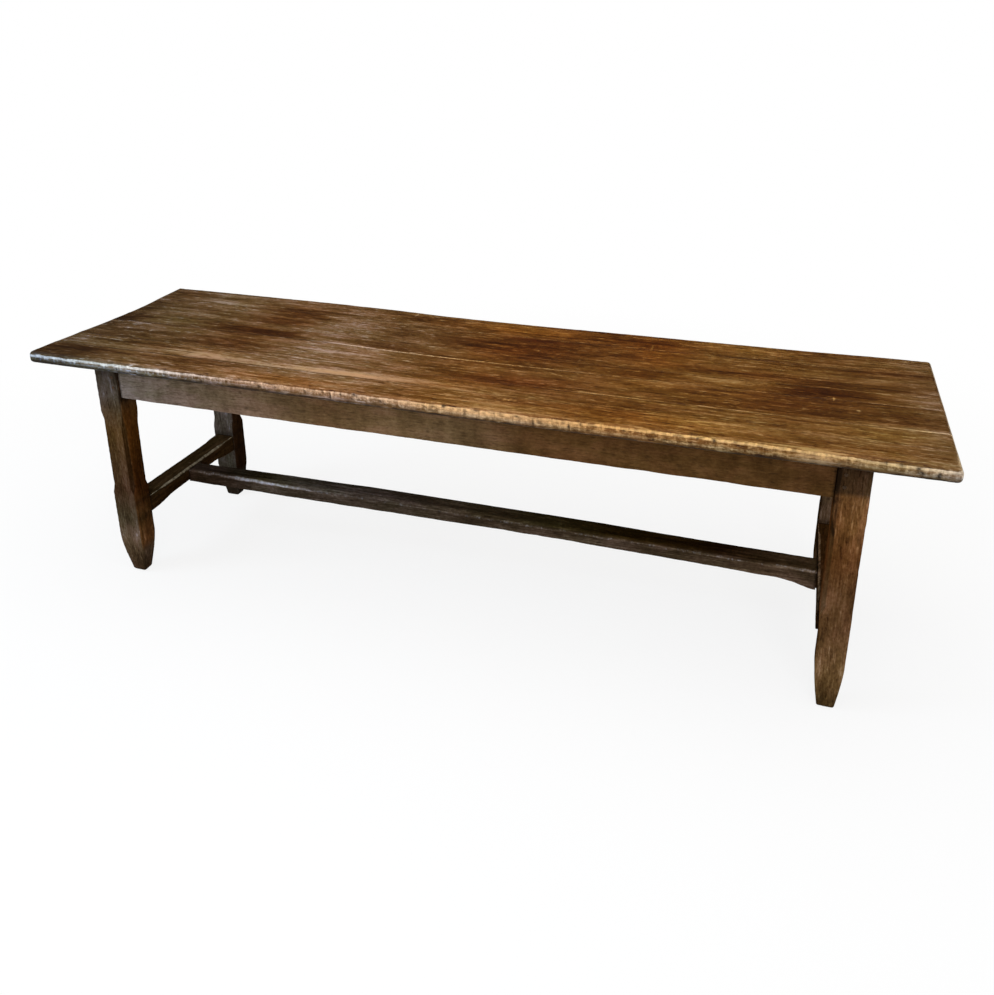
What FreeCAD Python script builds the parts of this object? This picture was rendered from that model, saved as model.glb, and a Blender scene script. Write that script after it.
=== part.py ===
import FreeCAD, Part
import math
import os

# Farmhouse table: six long planks on a pegged frame of four legs, four aprons
# and an H of stretchers. Millimetres. X runs along the table, Y from the front
# to the back, Z up. The origin is on the floor under the middle of the top.

# The top and its planks, front plank first
TABLE_HEIGHT = 760.0
TOP_LENGTH = 2566.0
TOP_WIDTH = 723.0
TOP_THICKNESS = 37.0
TOP_UPPER_ROUND = 14.0
TOP_LOWER_ROUND = 9.0
TOP_CORNER_EXTRA_ROUND = 6.0
PLANK_WIDTH_SHARES = (0.139, 0.130, 0.209, 0.109, 0.239, 0.174)
SEAM_GAP = 0.3

# Loose tongues in the seams between the planks
TONGUE_THICKNESS = 9.0
TONGUE_BITE = 14.0
TONGUE_END_STOP = 70.0

# Legs, with stopped chamfers between two square blocks and a tapered foot
LEG_WIDTH = 80.5
LEG_DEPTH = 70.0
LEG_END_INSET = 179.5
LEG_FRONT_INSET = 56.0
LEG_CHAMFER = 10.0
CHAMFER_BELOW_APRON = 50.0
CHAMFER_ABOVE_STRETCHER = 30.0
LEG_CHAMFER_RUNOUT = 30.0
RUNOUT_EASE_SHARE = 0.3
FOOT_HEIGHT = 135.0
FOOT_BEND_SHARE = 0.75
SOLE_WIDTH = 36.0
SOLE_DEPTH = 30.0
SOLE_ROUND = 6.0
SOLE_OUTER_SHARE = 0.72
SOLE_BACK_SHARE = 0.72

# Aprons
APRON_HEIGHT = 106.5
APRON_THICKNESS = 30.0
APRON_SETBACK = 1.0
APRON_TENON_TOP_HAUNCH = 20.0
APRON_TENON_LOWER_SHOULDER = 12.0
TENON_THICKNESS_SHARE = 1 / 3
TENON_WEB = 12.0
SHOULDER_GAP = 0.5

# Stretchers
STRETCHER_TOP = 252.0
STRETCHER_DEPTH = 57.0
STRETCHER_RELIEF = 8.0
RELIEF_END_BLOCK = 30.0
RELIEF_RAMP = 90.0
END_STRETCHER_WIDTH = 68.0
END_STRETCHER_SETBACK = 1.0
END_STRETCHER_CHAMFER = 9.0
CENTRE_STRETCHER_WIDTH = 70.0
CENTRE_STRETCHER_CHAMFER = 12.0
STRETCHER_CHAMFER_STOP = 45.0
STRETCHER_CHAMFER_RUNOUT = 35.0
STRETCHER_TENON_SHOULDER = 8.0
END_STRETCHER_TENON_LENGTH_SHARE = 0.62
CENTRE_TENON_LENGTH_SHARE = 0.70
CENTRE_TENON_WIDTH_SHARE = 0.64

# Cross battens, lapped into the tops of the long aprons
BATTEN_WIDTH = 60.0
BATTEN_THICKNESS = 22.0
BATTEN_LAP = 18.0
BATTEN_PLACE_SHARES = (-0.70, 0.0, 0.70)

# Turn buttons, whose lips sit in a groove along each apron
BUTTON_LENGTH = 42.0
BUTTON_REACH = 36.0
BUTTON_LIP = 7.0
BUTTON_CLEARANCE = 0.5
GROOVE_DEPTH = 9.0
GROOVE_HEIGHT = 8.0
GROOVE_BELOW_TOP = 12.0
BUTTON_PLACE_SHARES = (-0.90, -0.35, 0.35, 0.90)

# Pegs and screws
PEG_DIAMETER = 9.0
PEG_PROUD = 0.8
PEG_BEYOND = 10.0
PEG_POINT = 3.0
PEG_ALONG_TENON_SHARE = 0.42
APRON_PEG_HEIGHT_SHARES = (0.28, 0.72)
SCREW_DIAMETER = 4.5
SCREW_HEAD_DIAMETER = 9.0
SCREW_HEAD_HEIGHT = 2.6
SCREW_POINT = 5.0
SCREW_SLOT = 1.0
SCREW_BITE_SHARE = 0.85

# Fits
JOINT_FIT = 0.15
PIN_FIT = 0.1
TENON_END_GAP = 1.5
CUT_OVERRUN = 5.0
FILLET_LIMIT_SHARE = 0.45
DIAGONAL_SHARE = math.sqrt(0.5)

# Places worked out from the sizes above
LEFT, RIGHT = -1, 1
FRONT, BACK = -1, 1
TOP_UNDERSIDE = TABLE_HEIGHT - TOP_THICKNESS
LEG_OUTER_X = TOP_LENGTH / 2 - LEG_END_INSET
LEG_INNER_X = LEG_OUTER_X - LEG_WIDTH
LEG_OUTER_Y = TOP_WIDTH / 2 - LEG_FRONT_INSET
LEG_INNER_Y = LEG_OUTER_Y - LEG_DEPTH
APRON_BOTTOM = TOP_UNDERSIDE - APRON_HEIGHT
STRETCHER_BOTTOM = STRETCHER_TOP - STRETCHER_DEPTH
STRETCHER_MIDDLE = STRETCHER_TOP - STRETCHER_DEPTH / 2
END_STRETCHER_TENON_LENGTH = LEG_DEPTH * END_STRETCHER_TENON_LENGTH_SHARE
END_STRETCHER_TENON_THICKNESS = END_STRETCHER_WIDTH * TENON_THICKNESS_SHARE
CENTRE_TENON_LENGTH = END_STRETCHER_WIDTH * CENTRE_TENON_LENGTH_SHARE
CENTRE_TENON_THICKNESS = STRETCHER_DEPTH * TENON_THICKNESS_SHARE
APRON_TENON_THICKNESS = APRON_THICKNESS * TENON_THICKNESS_SHARE
APRON_TENON_OUTER = APRON_SETBACK + (APRON_THICKNESS - APRON_TENON_THICKNESS) / 2
APRON_TENON_INNER = APRON_TENON_OUTER + APRON_TENON_THICKNESS
LONG_TENON_LENGTH = LEG_WIDTH - APRON_TENON_INNER - TENON_WEB
END_TENON_LENGTH = LEG_DEPTH - APRON_TENON_INNER - TENON_WEB
END_STRETCHER_INNER_X = LEG_INNER_X + END_STRETCHER_SETBACK
END_STRETCHER_OUTER_X = END_STRETCHER_INNER_X + END_STRETCHER_WIDTH
END_STRETCHER_MID_X = END_STRETCHER_INNER_X + END_STRETCHER_WIDTH / 2
APRON_INNER_Y = LEG_OUTER_Y - APRON_SETBACK - APRON_THICKNESS
APRON_INNER_X = LEG_OUTER_X - APRON_SETBACK - APRON_THICKNESS
SCREW_BITE = (TOP_THICKNESS - TONGUE_THICKNESS) / 2 * SCREW_BITE_SHARE
BUTTON_THICKNESS = GROOVE_BELOW_TOP + GROOVE_HEIGHT


def vector(x, y, z):
    return FreeCAD.Vector(x, y, z)


def block(x_pair, y_pair, z_pair):
    # A block between two coordinates on each axis, in either order.
    low = vector(min(x_pair), min(y_pair), min(z_pair))
    high = vector(max(x_pair), max(y_pair), max(z_pair))
    size = high - low
    return Part.makeBox(size.x, size.y, size.z, low)


def grown(pair, gap):
    return (min(pair) - gap, max(pair) + gap)


def line(start, end):
    return Part.LineSegment(start, end).toShape()


def curve(*poles):
    bezier = Part.BezierCurve()
    bezier.setPoles(list(poles))
    return bezier.toShape()


def prism(edges, sweep):
    return Part.Face(Part.Wire(edges)).extrude(sweep)


def cut_all(shape, cutters):
    return shape.cut(cutters).removeSplitter()


def save(node, shape):
    shape.exportStep("parts/" + node + ".step")


def stopped_chamfer(start, end, inward, size, runout):
    # The cutter of one chamfer from start to end of an arris. Its floor rises
    # to the arris at both ends, in the run-out that a drawknife leaves.
    along = (end - start).normalize()
    depth = inward.normalize() * (size * DIAGONAL_SHARE)
    outside = inward.normalize() * (-size)
    ease = along * (runout * RUNOUT_EASE_SHARE)
    step = along * runout
    edges = [
        line(start + outside, start),
        curve(start, start + depth + ease, start + depth + step),
        line(start + depth + step, end + depth - step),
        curve(end + depth - step, end + depth - ease, end),
        line(end, end + outside),
        line(end + outside, start + outside),
    ]
    across = along.cross(inward).normalize() * size
    cutter = prism(edges, across * 2)
    cutter.translate(across * -1)
    return cutter


def peg_form(start, direction, length, fit):
    # A round peg from its proud end at start, with a tapered point.
    radius = PEG_DIAMETER / 2 + fit
    shank = Part.makeCylinder(radius, length - PEG_POINT, start, direction)
    point_start = start + direction * (length - PEG_POINT)
    point = Part.makeCone(radius, radius - PEG_POINT / 2, PEG_POINT, point_start, direction)
    return shank.fuse(point).removeSplitter()


def screw_profile(length, fit):
    radius = SCREW_DIAMETER / 2 + fit
    head = SCREW_HEAD_DIAMETER / 2 + fit
    corners = [
        vector(0, 0, 0),
        vector(head, 0, 0),
        vector(radius, 0, SCREW_HEAD_HEIGHT + fit),
        vector(radius, 0, length - SCREW_POINT),
        vector(0, 0, length + fit),
    ]
    outline = Part.makePolygon(corners + corners[:1])
    return Part.Face(outline).revolve(vector(0, 0, 0), vector(0, 0, 1), 360)


def screw(foot, length):
    # A countersunk screw driven upwards, its slotted head flush at foot.
    body = screw_profile(length, 0)
    slot = block(
        (-SCREW_HEAD_DIAMETER, SCREW_HEAD_DIAMETER),
        (-SCREW_SLOT / 2, SCREW_SLOT / 2),
        (-SCREW_SLOT, SCREW_SLOT),
    )
    body = body.cut(slot)
    body.translate(foot)
    return body


def screw_hole(foot, length):
    hole = screw_profile(length, PIN_FIT)
    hole.translate(foot)
    return hole


def plank_seams():
    # Y of the front edge, of each seam and of the back edge.
    total = sum(PLANK_WIDTH_SHARES)
    seams = [-TOP_WIDTH / 2]
    for share in PLANK_WIDTH_SHARES:
        seams.append(seams[-1] + TOP_WIDTH * share / total)
    return seams


def rounded_top():
    # The whole top as one slab, with round corners and softened arrises.
    upper = min(TOP_UPPER_ROUND, TOP_THICKNESS * FILLET_LIMIT_SHARE)
    lower = min(TOP_LOWER_ROUND, TOP_THICKNESS * FILLET_LIMIT_SHARE)
    slab = block(
        (-TOP_LENGTH / 2, TOP_LENGTH / 2),
        (-TOP_WIDTH / 2, TOP_WIDTH / 2),
        (TOP_UNDERSIDE, TABLE_HEIGHT),
    )
    upright = [e for e in slab.Edges if e.BoundBox.ZLength > TOP_THICKNESS / 2]
    slab = slab.makeFillet(max(upper, lower) + TOP_CORNER_EXTRA_ROUND, upright)
    middle = TABLE_HEIGHT - TOP_THICKNESS / 2
    level = [e for e in slab.Edges if e.BoundBox.ZLength < TOP_THICKNESS / 2]
    slab = slab.makeFillet(upper, [e for e in level if e.BoundBox.ZMin > middle])
    level = [e for e in slab.Edges if e.BoundBox.ZMax < TOP_UNDERSIDE + upper / 2]
    return slab.makeFillet(lower, level)


def tongue_block(seam, gap):
    middle = TABLE_HEIGHT - TOP_THICKNESS / 2
    half_length = TOP_LENGTH / 2 - TONGUE_END_STOP
    return block(
        (-half_length - gap, half_length + gap),
        (seam - TONGUE_BITE - gap, seam + TONGUE_BITE + gap),
        (middle - TONGUE_THICKNESS / 2 - gap, middle + TONGUE_THICKNESS / 2 + gap),
    )


def batten_places():
    return [LEG_INNER_X * share for share in BATTEN_PLACE_SHARES]


def batten_screw_feet():
    # One screw per batten under every plank, in the middle of the plank's
    # bearing on the batten.
    feet = []
    reach = APRON_INNER_Y + BATTEN_LAP
    seams = plank_seams()
    for x in batten_places():
        for front, back in zip(seams[:-1], seams[1:]):
            y = (max(front, -reach) + min(back, reach)) / 2
            feet.append(vector(x, y, TOP_UNDERSIDE - BATTEN_THICKNESS))
    return feet


def long_button_places():
    return [(LEG_INNER_X * share, face) for face in (FRONT, BACK) for share in BUTTON_PLACE_SHARES]


def button_screw_feet():
    foot_z = TOP_UNDERSIDE - BUTTON_THICKNESS
    away = BUTTON_CLEARANCE + BUTTON_REACH / 2
    feet = [vector(x, face * (APRON_INNER_Y - away), foot_z) for x, face in long_button_places()]
    for side in (LEFT, RIGHT):
        feet.append(vector(side * (APRON_INNER_X - away), 0, foot_z))
    return feet


def planks():
    slab = rounded_top()
    seams = plank_seams()
    inner_seams = seams[1:-1]
    cutters = [tongue_block(seam, JOINT_FIT) for seam in inner_seams]
    cutters += [screw_hole(foot, BATTEN_THICKNESS + SCREW_BITE) for foot in batten_screw_feet()]
    cutters += [screw_hole(foot, BUTTON_THICKNESS + SCREW_BITE) for foot in button_screw_feet()]
    slab = slab.cut(cutters)
    pieces = []
    for front, back in zip(seams[:-1], seams[1:]):
        front_edge = front + SEAM_GAP / 2 if front in inner_seams else front - CUT_OVERRUN
        back_edge = back - SEAM_GAP / 2 if back in inner_seams else back + CUT_OVERRUN
        strip = block(
            (-TOP_LENGTH, TOP_LENGTH),
            (front_edge, back_edge),
            (TOP_UNDERSIDE - CUT_OVERRUN, TABLE_HEIGHT + CUT_OVERRUN),
        )
        pieces.append(slab.common(strip))
    return pieces


def tongues():
    return [tongue_block(seam, 0) for seam in plank_seams()[1:-1]]


def apron_tenon_heights(fit):
    bottom = APRON_BOTTOM + APRON_TENON_LOWER_SHOULDER
    return grown((bottom, TOP_UNDERSIDE - APRON_TENON_TOP_HAUNCH), fit)


def long_apron_tenon(side, face, fit=0, end_gap=0):
    # The tenon of the front or back apron inside a leg, or with a fit and an
    # end gap the mortise for it.
    end = LEG_INNER_X + LONG_TENON_LENGTH + end_gap
    x_pair = (side * (LEG_INNER_X - CUT_OVERRUN), side * end)
    y_pair = (face * (LEG_OUTER_Y - APRON_TENON_OUTER), face * (LEG_OUTER_Y - APRON_TENON_INNER))
    return block(x_pair, grown(y_pair, fit), apron_tenon_heights(fit))


def end_apron_tenon(side, face, fit=0, end_gap=0):
    # The same for the left or right apron. It stops short of the long tenon.
    end = LEG_INNER_Y + END_TENON_LENGTH + end_gap
    x_pair = (side * (LEG_OUTER_X - APRON_TENON_OUTER), side * (LEG_OUTER_X - APRON_TENON_INNER))
    y_pair = (face * (LEG_INNER_Y - CUT_OVERRUN), face * end)
    return block(grown(x_pair, fit), y_pair, apron_tenon_heights(fit))


def apron_pegs(side, face, fit=0):
    # Two pegs through each of the two apron joints of one leg.
    bottom, top = apron_tenon_heights(0)
    length = PEG_PROUD + APRON_SETBACK + APRON_THICKNESS + PEG_BEYOND
    x = side * (LEG_INNER_X + LONG_TENON_LENGTH * PEG_ALONG_TENON_SHARE)
    y = face * (LEG_INNER_Y + END_TENON_LENGTH * PEG_ALONG_TENON_SHARE)
    pegs = []
    for share in APRON_PEG_HEIGHT_SHARES:
        z = bottom + (top - bottom) * share
        front_start = vector(x, face * (LEG_OUTER_Y + PEG_PROUD), z)
        end_start = vector(side * (LEG_OUTER_X + PEG_PROUD), y, z)
        pegs.append(peg_form(front_start, vector(0, -face, 0), length, fit))
        pegs.append(peg_form(end_start, vector(-side, 0, 0), length, fit))
    return pegs


def end_stretcher_tenon(side, face, fit=0, end_gap=0):
    half = END_STRETCHER_TENON_THICKNESS / 2
    end = LEG_INNER_Y + END_STRETCHER_TENON_LENGTH + end_gap
    x_pair = (side * (END_STRETCHER_MID_X - half), side * (END_STRETCHER_MID_X + half))
    y_pair = (face * (LEG_INNER_Y - CUT_OVERRUN), face * end)
    z_pair = (STRETCHER_BOTTOM + STRETCHER_TENON_SHOULDER, STRETCHER_TOP - STRETCHER_TENON_SHOULDER)
    return block(grown(x_pair, fit), y_pair, grown(z_pair, fit))


def end_stretcher_peg(side, face, fit=0):
    y = face * (LEG_INNER_Y + END_STRETCHER_TENON_LENGTH * PEG_ALONG_TENON_SHARE)
    start = vector(side * (LEG_OUTER_X + PEG_PROUD), y, STRETCHER_MIDDLE)
    tenon_inner_x = END_STRETCHER_MID_X - END_STRETCHER_TENON_THICKNESS / 2
    length = PEG_PROUD + LEG_OUTER_X - tenon_inner_x + PEG_BEYOND
    return peg_form(start, vector(-side, 0, 0), length, fit)


def centre_tenon(side, fit=0, end_gap=0):
    half_width = CENTRE_STRETCHER_WIDTH * CENTRE_TENON_WIDTH_SHARE / 2
    half_thickness = CENTRE_TENON_THICKNESS / 2
    end = END_STRETCHER_INNER_X + CENTRE_TENON_LENGTH + end_gap
    x_pair = (side * (END_STRETCHER_INNER_X - CUT_OVERRUN), side * end)
    z_pair = (STRETCHER_MIDDLE - half_thickness, STRETCHER_MIDDLE + half_thickness)
    return block(x_pair, grown((-half_width, half_width), fit), grown(z_pair, fit))


def centre_peg(side, fit=0):
    # An upright peg through the top of an end stretcher and the centre tenon.
    x = side * (END_STRETCHER_INNER_X + CENTRE_TENON_LENGTH * PEG_ALONG_TENON_SHARE)
    below = (STRETCHER_DEPTH - CENTRE_TENON_THICKNESS) / 2
    length = PEG_PROUD + STRETCHER_DEPTH - below + min(PEG_BEYOND, below / 2)
    return peg_form(vector(x, 0, STRETCHER_TOP + PEG_PROUD), vector(0, 0, -1), length, fit)


def foot_outline(outer, inner, sole_outer, sole_inner, place):
    # One view of a leg as a closed outline: straight sides down to the foot, a
    # bend that eases each side in to the sole, and a small round at the floor.
    # place turns a coordinate across the leg and a height into a point.
    inwards = math.copysign(SOLE_ROUND, sole_inner - sole_outer)
    bend = FOOT_HEIGHT * FOOT_BEND_SHARE
    near = SOLE_ROUND * (1 - DIAGONAL_SHARE)
    near_inwards = inwards * (1 - DIAGONAL_SHARE)
    outer_round = Part.Arc(
        place(sole_outer, SOLE_ROUND),
        place(sole_outer + near_inwards, near),
        place(sole_outer + inwards, 0),
    )
    inner_round = Part.Arc(
        place(sole_inner - inwards, 0),
        place(sole_inner - near_inwards, near),
        place(sole_inner, SOLE_ROUND),
    )
    return [
        line(place(outer, TOP_UNDERSIDE), place(outer, FOOT_HEIGHT)),
        curve(place(outer, FOOT_HEIGHT), place(outer, bend), place(sole_outer, SOLE_ROUND)),
        outer_round.toShape(),
        line(place(sole_outer + inwards, 0), place(sole_inner - inwards, 0)),
        inner_round.toShape(),
        curve(place(sole_inner, SOLE_ROUND), place(inner, bend), place(inner, FOOT_HEIGHT)),
        line(place(inner, FOOT_HEIGHT), place(inner, TOP_UNDERSIDE)),
        line(place(inner, TOP_UNDERSIDE), place(outer, TOP_UNDERSIDE)),
    ]


def leg_blank(side, face):
    # The leg that both of its views allow: the front view swept along Y, cut
    # to the end view swept along X.
    outer_x, inner_x = side * LEG_OUTER_X, side * LEG_INNER_X
    outer_y, inner_y = face * LEG_OUTER_Y, face * LEG_INNER_Y
    taper_x = side * (LEG_WIDTH - SOLE_WIDTH)
    taper_y = face * (LEG_DEPTH - SOLE_DEPTH)
    sole_x = outer_x - taper_x * SOLE_OUTER_SHARE
    sole_y = inner_y + taper_y * SOLE_BACK_SHARE
    front_view = foot_outline(
        outer_x, inner_x, sole_x, sole_x - side * SOLE_WIDTH, lambda u, z: vector(u, outer_y, z)
    )
    end_view = foot_outline(
        inner_y, outer_y, sole_y, sole_y + face * SOLE_DEPTH, lambda u, z: vector(outer_x, u, z)
    )
    front_sweep = prism(front_view, vector(0, inner_y - outer_y, 0))
    return front_sweep.common(prism(end_view, vector(inner_x - outer_x, 0, 0)))


def leg(side, face):
    body = leg_blank(side, face)
    low = STRETCHER_TOP + CHAMFER_ABOVE_STRETCHER
    high = APRON_BOTTOM - CHAMFER_BELOW_APRON
    cutters = []
    for x, x_inward in ((side * LEG_OUTER_X, -side), (side * LEG_INNER_X, side)):
        for y, y_inward in ((face * LEG_OUTER_Y, -face), (face * LEG_INNER_Y, face)):
            start, end = vector(x, y, low), vector(x, y, high)
            inward = vector(x_inward, y_inward, 0)
            cutters.append(stopped_chamfer(start, end, inward, LEG_CHAMFER, LEG_CHAMFER_RUNOUT))
    for tenon in (long_apron_tenon, end_apron_tenon, end_stretcher_tenon):
        cutters.append(tenon(side, face, JOINT_FIT, TENON_END_GAP))
    cutters += apron_pegs(side, face, PIN_FIT)
    cutters.append(end_stretcher_peg(side, face, PIN_FIT))
    return cut_all(body, cutters)


def long_apron(face):
    # The front or back apron, with its tenons, batten laps and button groove.
    outer = face * (LEG_OUTER_Y - APRON_SETBACK)
    inner = face * APRON_INNER_Y
    shoulder = LEG_INNER_X - SHOULDER_GAP
    body = block((-shoulder, shoulder), (outer, inner), (APRON_BOTTOM, TOP_UNDERSIDE))
    body = body.fuse([long_apron_tenon(side, face) for side in (LEFT, RIGHT)])
    groove = block(
        (-shoulder, shoulder),
        (face * (APRON_INNER_Y - CUT_OVERRUN), face * (APRON_INNER_Y + GROOVE_DEPTH)),
        (TOP_UNDERSIDE - BUTTON_THICKNESS, TOP_UNDERSIDE - GROOVE_BELOW_TOP),
    )
    cutters = [groove]
    for x in batten_places():
        half = BATTEN_WIDTH / 2 + JOINT_FIT
        lap = APRON_INNER_Y + BATTEN_LAP + TENON_END_GAP
        cutters.append(
            block(
                (x - half, x + half),
                (face * (APRON_INNER_Y - CUT_OVERRUN), face * lap),
                (TOP_UNDERSIDE - BATTEN_THICKNESS, TOP_UNDERSIDE + CUT_OVERRUN),
            )
        )
    for side in (LEFT, RIGHT):
        cutters += apron_pegs(side, face, PIN_FIT)
    return cut_all(body, cutters)


def end_apron(side):
    outer = side * (LEG_OUTER_X - APRON_SETBACK)
    inner = side * APRON_INNER_X
    shoulder = LEG_INNER_Y - SHOULDER_GAP
    body = block((outer, inner), (-shoulder, shoulder), (APRON_BOTTOM, TOP_UNDERSIDE))
    body = body.fuse([end_apron_tenon(side, face) for face in (FRONT, BACK)])
    groove = block(
        (side * (APRON_INNER_X - CUT_OVERRUN), side * (APRON_INNER_X + GROOVE_DEPTH)),
        (-shoulder, shoulder),
        (TOP_UNDERSIDE - BUTTON_THICKNESS, TOP_UNDERSIDE - GROOVE_BELOW_TOP),
    )
    cutters = [groove]
    for face in (FRONT, BACK):
        cutters += apron_pegs(side, face, PIN_FIT)
    return cut_all(body, cutters)


def stretcher_side_view(half_length, place):
    # A stretcher seen from its side: a straight top, and an underside that is
    # full at the end blocks and hollowed between them.
    ramp_start = half_length - RELIEF_END_BLOCK
    ramp_end = ramp_start - RELIEF_RAMP
    ramp_middle = (ramp_start + ramp_end) / 2
    hollow = STRETCHER_BOTTOM + STRETCHER_RELIEF
    return [
        line(place(-half_length, STRETCHER_TOP), place(half_length, STRETCHER_TOP)),
        line(place(half_length, STRETCHER_TOP), place(half_length, STRETCHER_BOTTOM)),
        line(place(half_length, STRETCHER_BOTTOM), place(ramp_start, STRETCHER_BOTTOM)),
        curve(place(ramp_start, STRETCHER_BOTTOM), place(ramp_middle, hollow), place(ramp_end, hollow)),
        line(place(ramp_end, hollow), place(-ramp_end, hollow)),
        curve(place(-ramp_end, hollow), place(-ramp_middle, hollow), place(-ramp_start, STRETCHER_BOTTOM)),
        line(place(-ramp_start, STRETCHER_BOTTOM), place(-half_length, STRETCHER_BOTTOM)),
        line(place(-half_length, STRETCHER_BOTTOM), place(-half_length, STRETCHER_TOP)),
    ]


def end_stretcher(side):
    half_length = LEG_INNER_Y - SHOULDER_GAP
    inner, outer = side * END_STRETCHER_INNER_X, side * END_STRETCHER_OUTER_X
    view = stretcher_side_view(half_length, lambda u, z: vector(inner, u, z))
    body = prism(view, vector(outer - inner, 0, 0))
    body = body.fuse([end_stretcher_tenon(side, face) for face in (FRONT, BACK)])
    chamfer_end = half_length - STRETCHER_CHAMFER_STOP
    block_half = CENTRE_STRETCHER_WIDTH / 2 + STRETCHER_CHAMFER_STOP / 2
    spans = [(outer, -side, -chamfer_end, chamfer_end)]
    spans.append((inner, side, -chamfer_end, -block_half))
    spans.append((inner, side, block_half, chamfer_end))
    cutters = []
    for x, inward, start, end in spans:
        cutters.append(
            stopped_chamfer(
                vector(x, start, STRETCHER_TOP),
                vector(x, end, STRETCHER_TOP),
                vector(inward, 0, -1),
                END_STRETCHER_CHAMFER,
                STRETCHER_CHAMFER_RUNOUT,
            )
        )
    cutters.append(centre_tenon(side, JOINT_FIT, TENON_END_GAP))
    cutters.append(centre_peg(side, PIN_FIT))
    cutters += [end_stretcher_peg(side, face, PIN_FIT) for face in (FRONT, BACK)]
    return cut_all(body, cutters)


def centre_stretcher():
    half_length = END_STRETCHER_INNER_X - SHOULDER_GAP
    front = -CENTRE_STRETCHER_WIDTH / 2
    view = stretcher_side_view(half_length, lambda u, z: vector(u, front, z))
    body = prism(view, vector(0, CENTRE_STRETCHER_WIDTH, 0))
    body = body.fuse([centre_tenon(side) for side in (LEFT, RIGHT)])
    chamfer_end = half_length - STRETCHER_CHAMFER_STOP
    cutters = []
    for face in (FRONT, BACK):
        cutters.append(
            stopped_chamfer(
                vector(-chamfer_end, -face * front, STRETCHER_TOP),
                vector(chamfer_end, -face * front, STRETCHER_TOP),
                vector(0, -face, -1),
                CENTRE_STRETCHER_CHAMFER,
                STRETCHER_CHAMFER_RUNOUT,
            )
        )
    cutters += [centre_peg(side, PIN_FIT) for side in (LEFT, RIGHT)]
    return cut_all(body, cutters)


def batten(x):
    reach = APRON_INNER_Y + BATTEN_LAP
    body = block(
        (x - BATTEN_WIDTH / 2, x + BATTEN_WIDTH / 2),
        (-reach, reach),
        (TOP_UNDERSIDE - BATTEN_THICKNESS, TOP_UNDERSIDE),
    )
    length = BATTEN_THICKNESS + SCREW_BITE
    return body.cut([screw_hole(foot, length) for foot in batten_screw_feet()])


def button(foot, towards):
    # One button under the top, its lip pointing into the groove of the apron
    # that lies in the direction towards. foot is where its screw goes in.
    across = vector(-towards.y, towards.x, 0)
    half_long, half_reach = across * (BUTTON_LENGTH / 2), towards * (BUTTON_REACH / 2)
    low = foot - half_long - half_reach
    high = foot + half_long + half_reach
    body = block((low.x, high.x), (low.y, high.y), (foot.z, TOP_UNDERSIDE))
    lip_start = foot - half_long + half_reach
    lip_end = foot + half_long + half_reach + towards * (BUTTON_CLEARANCE + BUTTON_LIP)
    lip_top = foot.z + GROOVE_HEIGHT - JOINT_FIT
    lip = block((lip_start.x, lip_end.x), (lip_start.y, lip_end.y), (foot.z + JOINT_FIT, lip_top))
    body = body.fuse(lip)
    return body.cut(screw_hole(foot, BUTTON_THICKNESS + SCREW_BITE))


def buttons():
    feet = button_screw_feet()
    directions = [vector(0, face, 0) for x, face in long_button_places()]
    directions += [vector(LEFT, 0, 0), vector(RIGHT, 0, 0)]
    return [button(foot, towards) for foot, towards in zip(feet, directions)]


def all_apron_pegs():
    pegs = []
    for side in (LEFT, RIGHT):
        for face in (FRONT, BACK):
            pegs += apron_pegs(side, face)
    return pegs


def all_stretcher_pegs():
    pegs = [centre_peg(side) for side in (LEFT, RIGHT)]
    for side in (LEFT, RIGHT):
        pegs += [end_stretcher_peg(side, face) for face in (FRONT, BACK)]
    return pegs


def main():
    os.makedirs("parts", exist_ok=True)
    for number, plank in enumerate(planks(), start=1):
        save("top_plank_" + str(number), plank)
    for number, tongue in enumerate(tongues(), start=1):
        save("top_tongue_" + str(number), tongue)
    for side, side_name in ((LEFT, "left"), (RIGHT, "right")):
        save(side_name + "_apron", end_apron(side))
        save(side_name + "_stretcher", end_stretcher(side))
        for face, face_name in ((FRONT, "front"), (BACK, "back")):
            save(face_name + "_" + side_name + "_leg", leg(side, face))
    save("front_apron", long_apron(FRONT))
    save("back_apron", long_apron(BACK))
    save("centre_stretcher", centre_stretcher())
    for x, name in zip(batten_places(), ("left_batten", "middle_batten", "right_batten")):
        save(name, batten(x))
    batten_screws = [screw(foot, BATTEN_THICKNESS + SCREW_BITE) for foot in batten_screw_feet()]
    button_screws = [screw(foot, BUTTON_THICKNESS + SCREW_BITE) for foot in button_screw_feet()]
    save("batten_screws", Part.makeCompound(batten_screws))
    save("button_screws", Part.makeCompound(button_screws))
    save("top_buttons", Part.makeCompound(buttons()))
    save("apron_pegs", Part.makeCompound(all_apron_pegs()))
    save("stretcher_pegs", Part.makeCompound(all_stretcher_pegs()))


main()
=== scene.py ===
"""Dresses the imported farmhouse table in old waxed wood: its planks, legs, aprons and stretchers."""

import logging
import math
from dataclasses import dataclass, field, replace
from enum import Enum
from typing import Any, Callable, Iterable, Sequence

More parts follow.
